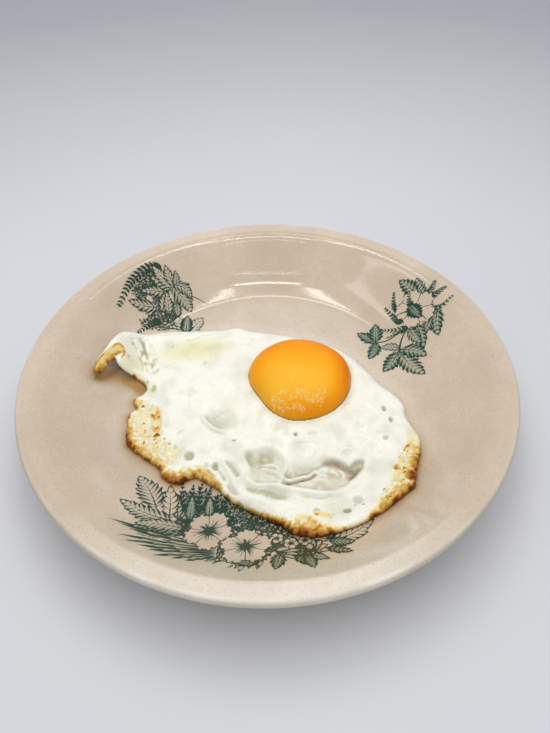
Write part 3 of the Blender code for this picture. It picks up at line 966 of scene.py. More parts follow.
def nearest_on(points, path, closed=True):
    """For each point: the distance to a path, the place along it counted in
    path points, and the side, +1 to the left of its direction."""
    ends = np.roll(path, -1, axis=0) if closed else path[1:]
    starts = path if closed else path[:-1]
    along = ends - starts
    distance, place, side = [], [], []
    for first in range(0, len(points), CHUNK):
        offset = points[first:first + CHUNK, None, :] - starts
        part = np.clip((offset * along).sum(2) / (along ** 2).sum(1), 0, 1)
        gap = np.linalg.norm(offset - part[..., None] * along, axis=2)
        best = gap.argmin(1)
        row = np.arange(len(best))
        distance.append(gap[row, best])
        place.append(best + part[row, best])
        turn = along[best, 0] * offset[row, best, 1] - along[best, 1] * offset[row, best, 0]
        side.append(np.sign(turn))
    return np.concatenate(distance), np.concatenate(place), np.concatenate(side)


from_edge, edge_place, _ = nearest_on(plan, edge_loop)
edge_index = np.round(edge_place).astype(int) % len(edge_loop)
crust_width = edge_crust[edge_index]
crust_toast = edge_toast[edge_index]
print("widest reach from the edge", round(from_edge.max() / MM, 1), "mm")

# %% [markdown]
# ## Swellings, hollows and creases
#
# Steam lifts the setting white into blisters and pillows, oil bubbles burst
# through it as small pits, and in front of the yolk the runny part has slid
# under a fold. Each is a small formula with its place and size, and their sum
# is the white's thickness. Like the CAD solid, it rises beside the yolk and is
# cut to a seat under it.

# %% Shape tools
def oval(x, y, half_length, half_width, bearing=0):
    """Each point's distance from an oval's middle: 1 on the oval itself."""
    turn = math.radians(bearing)
    dx = plan[:, 0] - x * MM
    dy = plan[:, 1] - y * MM
    along = (dx * math.cos(turn) + dy * math.sin(turn)) / (half_length * MM)
    across = (dy * math.cos(turn) - dx * math.sin(turn)) / (half_width * MM)
    return np.hypot(along, across)


def swelling(x, y, half_length, half_width, bearing, height):
    """A broad smooth swelling, or a hollow where height is negative."""
    return height * MM * np.exp(-oval(x, y, half_length, half_width, bearing) ** 3)


def soft_spots(spots):
    """Several soft spots together; the last number of each is its strength."""
    return sum(swelling(*place, strength / MM) for *place, strength in spots)


def crease(knots, width, height, sharp_side=0, taper=0.25):
    """A ridge, or a groove where height is negative, along a curved path. One
    side can fall away more steeply: +1 the left one, -1 the right."""
    path = smooth_path(np.array(knots) * MM, 6, closed=False)
    distance, place, side = nearest_on(plan, path, closed=False)
    spread = np.where(side == sharp_side, 0.45, 1.0) * width * MM
    along = place / (len(path) - 1)
    ends = smooth_step(0, taper, along) * smooth_step(0, taper, 1 - along)
    return height * MM * ends * np.exp(-(distance / spread) ** 2)


def region(knots, soft):
    """1 inside a closed clockwise curve and 0 outside it, with an edge this soft."""
    path = smooth_path(np.array(knots) * MM, 6)
    distance, _, side = nearest_on(plan, path)
    return smooth_step(-0.5 * soft * MM, 0.5 * soft * MM, -side * distance)


print("shape tools ready")

# %% Name the sizes of the yolk and the white
CLEARANCE = 0.35 * MM
YOLK_WAIST = 15.0 * MM
YOLK_CROWN = yolk_high.z - YOLK_WAIST
YOLK_BELLY = YOLK_WAIST - yolk_low.z
YOLK_BULGE = 0.5 * MM
YOLK_BULGE_BEARING = math.radians(-96)
YOLK_BULGE_WIDTH = math.radians(14)
YOLK_BLUNT = 0.7 * MM
YOLK_BLUNT_WIDTH = math.radians(45)
BELLY_FULLNESS = 4
THICKNESS = 3.4 * MM
EDGE_THICKNESS = 0.9 * MM
THIN_BLEND = 0.4 * MM
EDGE_ROLL = 4.6 * MM
SHOULDER_RISE = 1.6 * MM
SHOULDER_REACH = 14.0 * MM
COLLAR_RISE = 0.8 * MM
COLLAR_REACH = 1.3 * MM
SEAT_FILM = 1.0 * MM
TAIL_LIFT = 6.5 * MM
TAIL_START = -57.0 * MM
TAIL_END = -68.5 * MM
TIP_DROP = 3.5 * MM
TIP_X = -74.5 * MM
TIP_Y = 0.5 * MM
TIP_REACH = 8.0 * MM
print(f"crown {YOLK_CROWN / MM:.1f} mm over the waist, belly {YOLK_BELLY / MM:.1f} mm under it")

# %% Draw the yolk's outline and its belly
# bearing, width of the change in degrees, and how far the yolk swells there, in millimetres
YOLK_UNEVEN = [(-151, 30, -2.9), (25, 32, 1.4)]


def yolk_reach(bearing):
    """The yolk's radius in a direction: round, but blunt in front with a
    small bulge, tucked in on its left and a little full on its right."""
    turn = np.angle(np.exp(1j * (bearing - YOLK_BULGE_BEARING)))
    blunt = YOLK_BLUNT * np.exp(-(turn / YOLK_BLUNT_WIDTH) ** 2)
    reach = YOLK_RADIUS - blunt + YOLK_BULGE * np.exp(-(turn / YOLK_BULGE_WIDTH) ** 2)
    for way, width, swell in YOLK_UNEVEN:
        turn = np.degrees(np.angle(np.exp(1j * (bearing - math.radians(way)))))
        reach = reach + swell * MM * np.exp(-(turn / width) ** 2)
    return reach


def yolk_belly(share):
    """Height of the yolk's underside at a share of its radius."""
    return YOLK_WAIST - YOLK_BELLY * np.sqrt(1 - np.minimum(share, 1.0) ** BELLY_FULLNESS)


print("yolk reaches", round(float(yolk_reach(-math.pi / 2)) / MM, 1), "mm to the front")

# %% Sum up the white's broad relief
# x, y, half length, half width, bearing and height, below zero for a hollow
BODY_SWELLINGS = [
    (8, -62, 26, 6, -8, 1.4), (-36, 4, 18, 15, 20, 0.9), (-30, 24, 20, 8, 5, 0.7), (45, -24, 9, 16, 15, 0.8),
    (-46.5, -22, 1.9, 7.5, -8, -1.5), (-47.2, -5, 1.8, 5.5, 5, -0.5), (-61, 11, 4, 6, 20, -0.4),
]
# height, length and seed of each layer of unevenness
BODY_UNEVENNESS = [(0.28, 13, 3), (0.13, 5, 4), (0.05, 2, 5)]


def uneven(length, seed):
    """Smooth noise over the piece in hand, of a length in millimetres."""
    return roughness_at(plan, length * MM, seed)


relief = np.zeros(len(plan))
for spot in BODY_SWELLINGS:
    relief += swelling(*spot)
for height, length, seed in BODY_UNEVENNESS:
    relief += height * MM * uneven(length, seed)
print("relief from", round(relief.min() / MM, 1), "to", round(relief.max() / MM, 1), "mm")

# %% Sink the wet pocket in front of the yolk
# clockwise round its left hollow, its right one, and the lobe that slides down between them
LEFT_HOLLOW = [(-8.6, -38.5), (-5.5, -35.8), (-1, -34.6), (2.8, -36.4), (5.6, -39.4), (6, -43.5),
               (4.8, -47), (3.5, -50), (-1, -51), (-4.6, -50.8), (-5.2, -47), (-7.4, -42.4)]
RIGHT_HOLLOW = [(6, -49.2), (12, -47.8), (17, -45.8), (20.6, -42), (24.6, -40.2), (28, -41.4),
                (31.5, -43.6), (34, -41.3), (37.2, -41.2), (35.2, -45.2), (29.6, -52.0), (27.6, -53.2),
                (22, -54.8), (15, -53.6), (9.5, -52.6), (5.4, -51.6)]
LOBE_FRONT = [(6, -37.4), (12, -36.4), (18, -37), (24, -38.8), (24.5, -41.5), (18.5, -45.2),
              (14, -46.8), (9, -48.4), (6, -46.5)]
LOBE_START = -36 * MM
LOBE_DEEP = -47 * MM
HOLLOW_BACK = -43 * MM
HOLLOW_FRONT = -53 * MM
LEFT_DEPTH, RIGHT_DEPTH, LOBE_DEPTH = 1.8 * MM, 3.0 * MM, 2.2 * MM
# as for the body
POCKET_SWELLINGS = [
    (-1, -38.9, 4.2, 2.6, 20, -0.7), (-6.4, -39.4, 1.8, 3.4, 30, -0.8), (33.4, -43.8, 4.2, 2.2, 25, -1.0),
    (20, -48.8, 7.5, 2.8, 12, 1.2), (-2, -47.6, 3.6, 2.2, 0, 0.7), (14.5, -38.5, 6, 4, 0, 0.6),
]

left_hollow = region(LEFT_HOLLOW, 3.4)
right_hollow = region(RIGHT_HOLLOW, 1.4)
lobe_front = region(LOBE_FRONT, 2.4) * smooth_step(LOBE_START, LOBE_DEEP, plan[:, 1])
deeper_behind = 0.35 + 0.65 * smooth_step(HOLLOW_FRONT, HOLLOW_BACK, plan[:, 1])
relief -= LEFT_DEPTH * left_hollow + RIGHT_DEPTH * right_hollow * deeper_behind
relief -= LOBE_DEPTH * lobe_front * (1 - right_hollow)
for spot in POCKET_SWELLINGS:
    relief += swelling(*spot)
relief += MM * right_hollow * (0.40 * uneven(2.6, 11) + 0.22 * uneven(1.5, 14))
relief += MM * left_hollow * 0.30 * uneven(2.6, 12)
print("relief from", round(relief.min() / MM, 1), "to", round(relief.max() / MM, 1), "mm")

# %% Wrinkle the pocket's skin
WRINKLE = [(-2.4, -42.4), (-1.8, -44), (0.6, -44.4), (3.6, -45.6), (5.2, -48.4), (7.2, -49.4), (12, -48.2),
           (15.6, -47.4), (17.6, -45.6), (21, -44), (23.8, -42.4)]
SIDE_WRINKLE = [(16.5, -44.4), (20, -42.8), (23.4, -41.6)]
GULLY = [(19, -41.4), (24, -40.6), (27.4, -41.8), (31, -44.6)]
SMALL_WRINKLES = [
    [(6.4, -37.6), (6.8, -42), (5.8, -46.2)], [(8.2, -39.6), (8.8, -43), (7.6, -46.4)],
    [(7.4, -42.6), (9.6, -44.8), (9.2, -47.6)], [(18, -48.6), (20.6, -46.8), (22.4, -48)],
    [(16.6, -50), (19.6, -49.2), (21.4, -50.4)], [(23.6, -44), (26, -45.6), (27, -48)],
    [(26.6, -43.6), (29, -45.8), (28.4, -49)], [(-2.6, -42.2), (0.4, -41.4), (3.4, -42.6), (5, -44.6)],
    [(17.8, -45.8), (21, -45.6), (23.8, -43)],
]
WRINKLE_HEIGHT = 1.3 * MM
SMALL_WRINKLE_HEIGHT = 0.6 * MM

below_wrinkle = [(x, y - 1.1) for x, y in WRINKLE]
wrinkle = crease(WRINKLE, 0.75, 1 / MM, taper=0.1)
relief += WRINKLE_HEIGHT * wrinkle
relief += crease(below_wrinkle, 0.6, -0.9)
relief += crease(SIDE_WRINKLE, 0.6, 0.9)
relief += crease(GULLY, 1.3, -1.0)
small_wrinkles = np.zeros(len(plan))
for knots in SMALL_WRINKLES:
    small_wrinkles = np.maximum(small_wrinkles, crease(knots, 0.6, 1 / MM))
relief += SMALL_WRINKLE_HEIGHT * small_wrinkles
print(2 + len(SMALL_WRINKLES), "wrinkles")

# %% List the folds
# each is a path, its width, and its height, below zero for a groove
FOLDS = [
    ([(-17, -37.5), (-12.5, -42.5), (-8.5, -48.8), (-5.6, -51.9), (2, -52.5), (10, -54.7), (20, -56.6),
      (27, -56.2), (34, -50.4), (38.8, -43.4)], 1.9, 1.4),
    ([(-10.2, -37.2), (-8.6, -41), (-7, -45), (-7.2, -49.5)], 1.1, 0.6),
    ([(-9.4, -51.4), (-6.2, -53.3), (-1, -54.6), (4, -57.2), (9.5, -57.8)], 1.6, -1.5),
    ([(-12, -54.4), (-6, -57.2), (0, -59), (8, -60.4), (18, -60.6)], 2.0, 0.5),
    ([(-17.2, -39.4), (-13.4, -43.8), (-10.4, -48.6)], 1.2, -1.0),
    ([(-21, -38.8), (-17, -42.4), (-14, -47.5), (-12.6, -52), (-10, -55.4)], 1.0, 0.8),
    ([(-22.8, -41), (-18.6, -45.4), (-15.8, -50.6)], 0.8, -0.6),
    ([(-25, -41), (-20.8, -46.2), (-17, -52)], 1.0, 0.4),
    ([(-16, -50), (-13.8, -54), (-9.5, -56.4)], 0.9, -0.5),
    ([(10, -56.6), (18, -58.4), (24, -58.2)], 0.8, -0.35),
    ([(14, -59.4), (20, -61.2), (26, -60.6)], 0.8, -0.3),
    ([(8, -34), (12, -32.1), (18, -31.7), (21.4, -33.6)], 0.6, 0.35),
    ([(12.6, -38.2), (14.6, -35.2), (17.6, -36), (17.2, -38.8), (14.2, -39)], 0.5, 0.30),
    ([(15.5, -28.8), (18, -28.2), (20.6, -28.4)], 0.5, -0.35),
    ([(27, -31.2), (33, -30.6), (40, -31)], 0.6, -0.25),
    ([(1, -30), (2.4, -32.4), (1.6, -35)], 0.5, 0.3), ([(3.6, -30.2), (5, -32.6), (4.4, -35)], 0.5, 0.3),
    ([(5.4, -24.4), (7, -26.6), (7.2, -29.4)], 0.6, 0.3),
    ([(21, -37.8), (22.4, -35.2), (25.4, -36.6)], 0.5, 0.3),
    ([(27, -38.2), (31, -35.6), (35, -37.6)], 0.9, 0.4), ([(38, -40.5), (42, -37), (46, -36)], 1.3, -0.3),
    ([(-28.6, -17.2), (-26, -21.6), (-21.4, -26), (-15.6, -27.6)], 0.75, 0.75),
    ([(-26.5, -15), (-25, -20), (-21, -24.4), (-15, -26)], 0.9, -0.55),
    ([(-37.4, -28.2), (-35.4, -25.8), (-33.2, -25.2)], 0.6, -0.45),
    ([(-44, -15), (-42.6, -20), (-42, -25)], 0.8, -0.4),
    ([(-43, 26.3), (-36.8, 27.2), (-31, 30.4), (-25, 32)], 0.8, -0.45),
    ([(-52, 30), (-46, 32), (-40, 31.8)], 0.8, -0.35), ([(-62, 22), (-57.5, 27.5), (-49, 30)], 0.7, 0.4),
    ([(-64.5, 20), (-61, 25), (-56.5, 29.6)], 0.6, -0.4),
    ([(-52, 5.2), (-50.4, 7), (-48.6, 9.2)], 0.7, -0.6),
    ([(-66, 12), (-61, 8.4), (-56.6, 4)], 1.6, 0.6), ([(-30, 8), (-28.6, 12), (-26.6, 15.6)], 0.8, -0.3),
    ([(-18, 21), (-12.6, 24), (-6, 25.2)], 0.9, -0.3), ([(-31, -7), (-30, -12), (-31.4, -16)], 1.2, -0.3),
    ([(52.5, -39), (53.8, -37), (55.8, -35.4)], 0.6, -0.5), ([(36, -12), (41, -14.6), (44, -19)], 1.2, -0.3),
]
print(len(FOLDS), "folds")

# %% Lay the folds and raise the blister
# as for the body: the blister, and a knob on top of it
BLISTER = [(-18.6, -20.6, 5.4, 4.7, 15, 3.2), (-20.4, -20.2, 1.6, 1.2, 30, 0.5)]
FOLD_HEIGHT = 1.6
PUCKER_HEIGHT = 0.42 * MM
SMOOTH_BEHIND, PUCKERED_BEFORE = -8 * MM, -26 * MM
SMOOTH_EDGE, PUCKERED_WITHIN = 1.5 * MM, 5 * MM

for knots, width, height in FOLDS:
    relief += crease(knots, width, FOLD_HEIGHT * height, taper=0.3)
for spot in BLISTER:
    relief += swelling(*spot)
frontness = smooth_step(SMOOTH_BEHIND, PUCKERED_BEFORE, plan[:, 1])
puckered = (0.3 + 0.7 * frontness) * smooth_step(SMOOTH_EDGE, PUCKERED_WITHIN, from_edge)
puckered *= 1 - np.maximum.reduce([left_hollow, right_hollow, lobe_front])
relief += PUCKER_HEIGHT * puckered * (0.3 - np.abs(uneven(5.2, 51)))
print("relief from", round(relief.min() / MM, 1), "to", round(relief.max() / MM, 1), "mm")

# %% List the burst bubbles
# x, y, half width, half depth in plan, depth in millimetres, and how dark its thin bottom is painted, partly
# as painted shade
PITS = [
    (11, -28.9, 0.8, 0.9, 0.9, 1.0), (-13.8, -30.8, 1.1, 0.5, 0.6, 0.8), (-31, -38, 2.3, 2.5, 1.1, 0.8),
    (-20.6, -43, 1.4, 2.1, 0.9, 0.8), (-24, -42.6, 1.6, 1.9, 0.4, 0.35), (48.5, -16, 1.2, 1.9, 0.9, 0.75),
    (50.5, -22, 1.1, 1.6, 0.9, 0.8), (47, -31.2, 1.3, 1.2, 0.7, 0.6), (44.4, -28.2, 0.8, 1.4, 0.3, 0.25),
    (48.6, -45.9, 1.2, 1.5, 1.2, 1.0), (27.9, -65.5, 1.8, 1.5, 1.1, 1.0), (32.4, -60.2, 2.2, 2.8, 0.7, 0.5),
    (31.0, -63.2, 0.8, 0.6, 0.5, 0.7), (33.8, -62.9, 0.8, 0.7, 0.5, 0.7), (26, -24.6, 1.6, 1.2, 0.2, 0.2),
    (3.4, -26, 1.8, 1.2, 0.2, 0.25), (-44.7, 22.5, 0.8, 0.8, 0.5, 0.5), (-44.8, -35.9, 1.4, 1.5, 0.7, 0.7),
    (-41, -32.8, 0.8, 1.1, 0.5, 0.4), (-37, -34, 0.9, 1.3, 0.4, 0.35), (-49.9, -3, 1.3, 2.6, 0.6, 0.6),
    (-46, 9.8, 1.4, 1.6, 0.3, 0.2), (-62, 20.6, 0.8, 1.0, 0.6, 0.7), (-62.6, 12.6, 0.8, 0.8, 0.6, 0.6),
    (-51, 14.4, 1.0, 1.2, 0.4, 0.35), (-53.6, 1.2, 0.9, 1.1, 0.6, 0.7), (31, -37.2, 2.6, 1.8, 0.3, 0.22),
    (41.6, -34, 2.6, 1.8, 0.2, 0.15), (-28.6, 12, 1.3, 1.6, 0.2, 0.18), (37, -24, 2.6, 2.2, 0.2, 0.15),
    (-38, -5.5, 1.6, 1.6, 0.2, 0.15), (17.2, -64.6, 1.4, 1.8, 0.6, 0.8), (22.4, -67, 1.0, 1.0, 0.5, 0.8),
    (43, -58.2, 0.7, 0.9, 0.7, 0.9), (46.6, -56.8, 0.8, 0.6, 0.5, 0.6), (44, -60, 1.8, 0.6, 0.7, 0.9),
    (-54.6, -11.6, 1.1, 1.1, 0.6, 0.8), (-53.6, -24, 0.7, 0.6, 0.5, 0.7), (-51.6, -24.2, 0.4, 0.5, 0.5, 0.7),
    (-47.7, -33.7, 0.5, 0.5, 0.5, 0.8), (-50.6, -27, 0.5, 0.6, 0.5, 0.5), (51.8, -44, 0.6, 0.7, 0.6, 0.7),
]
print(len(PITS), "pits")

# %% Burst them
RING_SHARE = 1.2
RING_WIDTH_SHARE = 0.22

pits = np.zeros(len(plan))
for x, y, half_width, half_depth, depth, dark in PITS:
    away = oval(x, y, half_width, half_depth)
    hole = 1 - smooth_step(0.5, 1.1, away)
    ring = np.exp(-((away - RING_SHARE) / RING_WIDTH_SHARE) ** 2)
    relief += MM * (0.25 * depth * ring - depth * hole)
    pits = np.maximum(pits, dark * hole)
print("pits over", int((pits > 0.1).sum()), "points")

# %% Froth up the lacy edges
LACE_SEED = 12
LACE_TRIES = 620
LEFT_LACE = [(-58, -16), (-54, -9), (-49, -12), (-48.5, -22), (-46, -29), (-38, -31), (-33, -36),
             (-36, -42), (-43, -41), (-50, -36), (-56, -31)]
RIGHT_LACE = [(54, -34), (58, -33), (58.6, -41), (52.4, -56), (42, -64), (39, -62), (44.6, -53), (48.6, -43)]
CRACK = [(-49.6, -13), (-46.4, -13.4), (-45, -17), (-44.2, -22), (-43.6, -27.6), (-45.6, -28.8),
         (-47.6, -27), (-48, -22), (-49.4, -18)]
BUBBLE_SIZES = (0.4, 1.15)
BUBBLE_HEIGHTS = (0.3, 0.7, 1.0)
DOME_FULLNESS = 1.35
FROTH_SINK = 0.5 * MM
LEAST_LACE = 0.3
GAP_BOTTOM, GAP_TOP = 0.15 * MM, 0.55 * MM
CRACK_DEPTH = 1.2 * MM
CRACK_ROUGHNESS = 0.35 * MM

lace_random = np.random.default_rng(LACE_SEED)
lacy = np.maximum(region(LEFT_LACE, 3), region(RIGHT_LACE, 3))
edge_froth = crust_toast * (1 - smooth_step(0.8, 1.8, from_edge / crust_width))
lace = np.maximum(lacy, 0.8 * edge_froth)
froth = np.zeros(len(plan))
laced = np.flatnonzero(lace > LEAST_LACE)
for centre in plan[lace_random.choice(laced, LACE_TRIES)]:
    size = lace_random.uniform(*BUBBLE_SIZES) * MM
    near = np.flatnonzero(np.abs(plan[laced] - centre).max(1) < size)
    away = np.hypot(*(plan[laced[near]] - centre).T) / size
    dome = DOME_FULLNESS * size * np.sqrt(np.clip(1 - away ** 2, 0, 1))
    froth[laced[near]] = np.maximum(froth[laced[near]], dome * lace_random.choice(BUBBLE_HEIGHTS))
gaps = lace * (1 - smooth_step(GAP_BOTTOM, GAP_TOP, froth))
relief += lace * (froth - FROTH_SINK)
crack = region(CRACK, 3.0)
relief += crack * (CRACK_ROUGHNESS * uneven(1.4, 13) - CRACK_DEPTH)
relief += swelling(-44.3, -29.6, 1.5, 1.3, 0, 0.9)
print("froth up to", round(froth.max() / MM, 2), "mm")

# %% Find the hollows
SOFTENINGS = 30


def softened(mesh, values, times):
    """Each point's value averaged with its neighbours' this many times."""
    ends = np.empty(2 * len(mesh.edges), int)
    mesh.edges.foreach_get("vertices", ends)
    ends = np.concatenate([ends.reshape(-1, 2), ends.reshape(-1, 2)[:, ::-1]])
    count = np.bincount(ends[:, 0], minlength=len(values))
    for _ in range(times):
        around = np.bincount(ends[:, 0], weights=values[ends[:, 1]], minlength=len(values))
        values = 0.5 * values + 0.5 * around / count
    return values


sunk = (softened(white_mesh, relief, SOFTENINGS) - relief) / MM
print("deepest hollow", round(sunk.max(), 2), "mm below its surroundings")

# %% Move every point to its place
WALL_BULGE = 0.35


def underside(spots):
    """Height of the white's underside: it follows the plate, and its tail
    lifts off it and hooks down at the tip."""
    rest = plate_top(np.hypot(spots[:, 0], spots[:, 1])) + CLEARANCE
    lift = TAIL_LIFT * smooth_step(TAIL_START, TAIL_END, spots[:, 0])
    from_tip = np.hypot(spots[:, 0] - TIP_X, spots[:, 1] - TIP_Y)
    return rest + lift - TIP_DROP * (1 - smooth_step(0.0, TIP_REACH, from_tip))


under = underside(plan)
roll = np.sqrt(1 - (1 - np.clip(from_edge / EDGE_ROLL, 0, 1)) ** 2)
dx, dy = plan[:, 0] - YOLK_X, plan[:, 1] - YOLK_Y
from_yolk = np.hypot(dx, dy)
reach = yolk_reach(np.arctan2(dy, dx))
thickness = THICKNESS + SHOULDER_RISE * (1 - smooth_step(0.0, SHOULDER_REACH, from_yolk - reach)) + relief
# the white clings to the yolk in a small collar
thickness += COLLAR_RISE * np.exp(-((from_yolk - reach) / COLLAR_REACH) ** 2)
thickness = EDGE_THICKNESS + soft_ramp(thickness - EDGE_THICKNESS, THIN_BLEND)
top = under + EDGE_THICKNESS + (thickness - EDGE_THICKNESS) * roll
seat = np.maximum(under + SEAT_FILM, yolk_belly(from_yolk / reach) - CLEARANCE)
in_seat = from_yolk < reach + CLEARANCE
top = np.where(in_seat, np.minimum(top, seat), top)
middle = (top + under) / 2
half = (top - under) / 2
points[:, 2] = middle + share * half
wall = (np.abs(share) < 1) & (from_edge < 2 * VOXEL)
push = np.where(wall, WALL_BULGE * half * np.sqrt(1 - share ** 2), 0)
points[:, :2] = plan + outward[edge_index] * push[:, None]
white_mesh.vertices.foreach_set("co", points.ravel())
print("white from", round(points[:, 2].min() / MM, 1), "to", round(points[:, 2].max() / MM, 1), "mm")

# %% [markdown]
# ## The white's finish
#
# Cooked white is opaque but lets light in a little way, so it glows softly:
# that is subsurface scattering. It is wet, so it shines. What changes over it
# is painted on its points: `toast` runs from white through gold to dark brown
# at the crust, `thin_and_shade` marks the glassy places where the plate shows
# through and carries painted shade in its hollows, recesses and under its lobe,
# `juice_and_shade` their brownish wet parts and painted shadow lines under its
# overhangs, `yellow` the warm stain of spread yolk and a yellower ring round the
# yolk, and `pool` what gleams most. The crust is dry, so it gets a finish of its own.

# %% Paint the white's crust
# share of full toasting that each layer of the crust adds
GOLDEN, BROWN, RIM, SPECKLED, GLOWING = 0.34, 0.28, 0.38, 0.20, 0.09
# where it browned less: x, y, half length, half width, bearing and how much less
SPARED = [(-19, -52, 13, 7, -40, 0.45), (58, -31, 4, 8, 0, 0.7)]

speckle = uneven(1.5, 6)
fine_speckle = uneven(0.9, 9)
drift = uneven(5, 7)
patches = smooth_step(-0.25, 0.40, 0.8 * uneven(2.8, 17) + 0.6 * speckle)
inward = from_edge / (crust_width * (1 + 0.35 * drift + 0.12 * speckle))
spared = np.clip(soft_spots(SPARED), 0, 1)
crust_toast = crust_toast * (1 - spared)
golden = GOLDEN * (1 - smooth_step(0.25, 1.5, inward)) * (0.60 + 0.50 * patches)
brown = BROWN * (1 - smooth_step(0.0, 0.75, inward)) * (0.25 + 0.95 * patches)
rim = RIM * (1 - smooth_step(0.0, 0.28, inward)) * (0.60 + 0.7 * patches)
toast = crust_toast * (golden + brown + rim + SPECKLED * fine_speckle * (inward < 1.1))
toast += GLOWING * crust_toast * np.exp(-(inward / 2.4) ** 2)
toast += 0.08 * swelling(57.4, -35, 2.4, 7, 0, 1 / MM)
dots = smooth_step(0.34, 0.50, 0.6 * speckle + 0.6 * fine_speckle)
toast += lacy * (0.04 + gaps * (0.10 + 0.50 * dots))
print("crust painted")

# %% Paint its brown places
# each is a path, its width in millimetres and its toasting
BROWN_PLACES = [
    ([(-46.6, -26.2), (-45.4, -26.8), (-44.6, -26.4)], 1.4, 0.95),
    ([(-46.2, -16.6), (-46, -17.6)], 0.6, 0.9),
    ([(-48.8, -16.2), (-48.2, -17.4)], 0.6, 0.6), ([(-45, -29), (-46.2, -30.8)], 0.6, 0.5),
    ([(-42, -29), (-41.6, -30)], 0.5, 0.45), ([(-57, -7.6), (-55.4, -10.4), (-53.4, -9.4)], 1.4, 0.26),
    ([(-57.6, -6.6), (-58.2, -9.6)], 0.6, 0.7), ([(-56.4, -13.6), (-58, -17.4), (-57.8, -19.4)], 0.7, 0.7),
    ([(-57.4, -24), (-56.4, -28.6)], 1.6, 0.48), ([(-56.6, -30.6), (-54.4, -33)], 1.0, 0.9),
    ([(-41, -45.4), (-38.4, -47.8), (-35, -48.6), (-32.4, -48)], 1.3, 0.60),
    ([(-28.4, -43.8), (-24.4, -46), (-20.4, -49.4), (-17.4, -52.4)], 1.5, 0.33),
    ([(-29, -42.4), (-24.4, -44.2), (-20.6, -47.4)], 0.35, 0.40),
    ([(9, -68), (12.6, -67.6), (16, -68)], 2.4, 0.22), ([(8.4, -71), (13, -73), (17.6, -72.8)], 1.2, 0.66),
    ([(15.6, -65.4), (19, -66.2), (23, -68.4)], 2.0, 0.20), ([(16.4, -65.4), (17.8, -66.6)], 0.6, 0.5),
    ([(53, -38.6), (53.8, -36.6), (55.4, -35.4)], 0.4, 0.5), ([(41.6, -61), (43, -60.2)], 0.5, 0.6),
    ([(44, -59.4), (45.8, -58.6)], 0.4, 0.5), ([(48.2, -46.6), (49.2, -44.8)], 0.7, 0.6),
    ([(42, -57.2), (42.6, -56)], 0.5, 0.5), ([(57.4, -31), (57.2, -36), (56, -42)], 1.5, 0.15),
    ([(56, -42), (54.8, -46.6)], 1.5, 0.42), ([(54.2, -49.4), (52.6, -54)], 2.5, 0.92),
    ([(51.8, -55.4), (48.8, -58.4), (46, -61)], 1.3, 0.50), ([(46.6, -60.2), (44.4, -62.4)], 0.8, 0.85),
    ([(43, -63.4), (39, -66)], 1.9, 0.48), ([(-60.6, 5.2), (-58.6, 4.0)], 0.6, 0.95),
    ([(-57.4, 3.2), (-54.8, 0.8), (-53.4, -3)], 0.8, 0.50),
]
for knots, width, amount in BROWN_PLACES:
    place = crease(knots, width, amount / MM, taper=0.15)
    toast = np.maximum(toast, place * (0.9 + 0.3 * speckle + 0.25 * fine_speckle))
toast = np.maximum(toast, crack * (0.16 + 0.16 * patches + 0.20 * fine_speckle))
print(len(BROWN_PLACES), "brown places")

# %% Paint the tail's crisp tongue and its streaks
TONGUE = [(-66.4, 16.2), (-64.6, 15.6), (-64.2, 13.4), (-65.4, 11.6), (-66.9, 10.4), (-69.2, 6.8),
          (-71.6, 2.4), (-74.2, 0.6), (-75, 2.4), (-73, 5.8), (-70.8, 9.8), (-68.6, 14)]
STREAK_PATH = [(-59.5, 27), (-57.6, 19), (-54.8, 12.5), (-52, 7.4)]


def drawn_out(bearing, length, width, seed):
    """Noise drawn out along a bearing."""
    turn = math.radians(bearing)
    along = plan[:, 0] * math.cos(turn) + plan[:, 1] * math.sin(turn)
    across = plan[:, 1] * math.cos(turn) - plan[:, 0] * math.sin(turn)
    return roughness_at(np.stack([along / (length * MM), across / (width * MM)], 1), 1.0, seed)


TONGUE_RIM = 0.94
TONGUE_LEAST = 0.20
UNDER_TOAST = 0.7
UNDER_FROM, UNDER_FULL = -52 * MM, -57 * MM
tongue = region(TONGUE, 0.9) * (share > -0.9)
tongue_middle = region(TONGUE, 3.0)
stripes = drawn_out(62, 4.0, 0.9, 41)
crisp = np.maximum(TONGUE_RIM - 0.78 * tongue_middle + 0.28 * stripes, TONGUE_LEAST)
toast = np.maximum(toast, tongue * crisp)
notch_rim = np.clip(crease([(-64.4, 15), (-64.2, 12), (-64.9, 8.6)], 0.35, 1 / MM), 0, 1)
toast = np.maximum(toast, 0.5 * notch_rim)
under_tail = (share < -0.5) * smooth_step(UNDER_FROM, UNDER_FULL, plan[:, 0])
toast = np.maximum(toast, UNDER_TOAST * under_tail)
streaks = np.clip(crease(STREAK_PATH, 3.2, 1 / MM, taper=0.2), 0, 1)
streaks *= smooth_step(-0.22, 0.34, drawn_out(106, 3.6, 0.9, 42)) * (share > 0)
print("tongue and streaks painted")

# %% Paint where it is thin, and painted shade in its hollows
LOBE_SHADE_FROM = -40 * MM
HOLLOW_REACH = 1.2 * MM
tints = smooth_step(0.0, 0.6, uneven(8, 21)) + 0.5 * smooth_step(0.1, 0.5, drift)
thin_and_shade = 0.16 * tints + 0.05 * fine_speckle + 0.09 * frontness * (0.7 + 0.6 * drift)
# painted shade on the lobe, darker as it slides down into the pocket
lobe_shade = 0.26 + 0.62 * smooth_step(LOBE_SHADE_FROM, LOBE_DEEP, plan[:, 1])
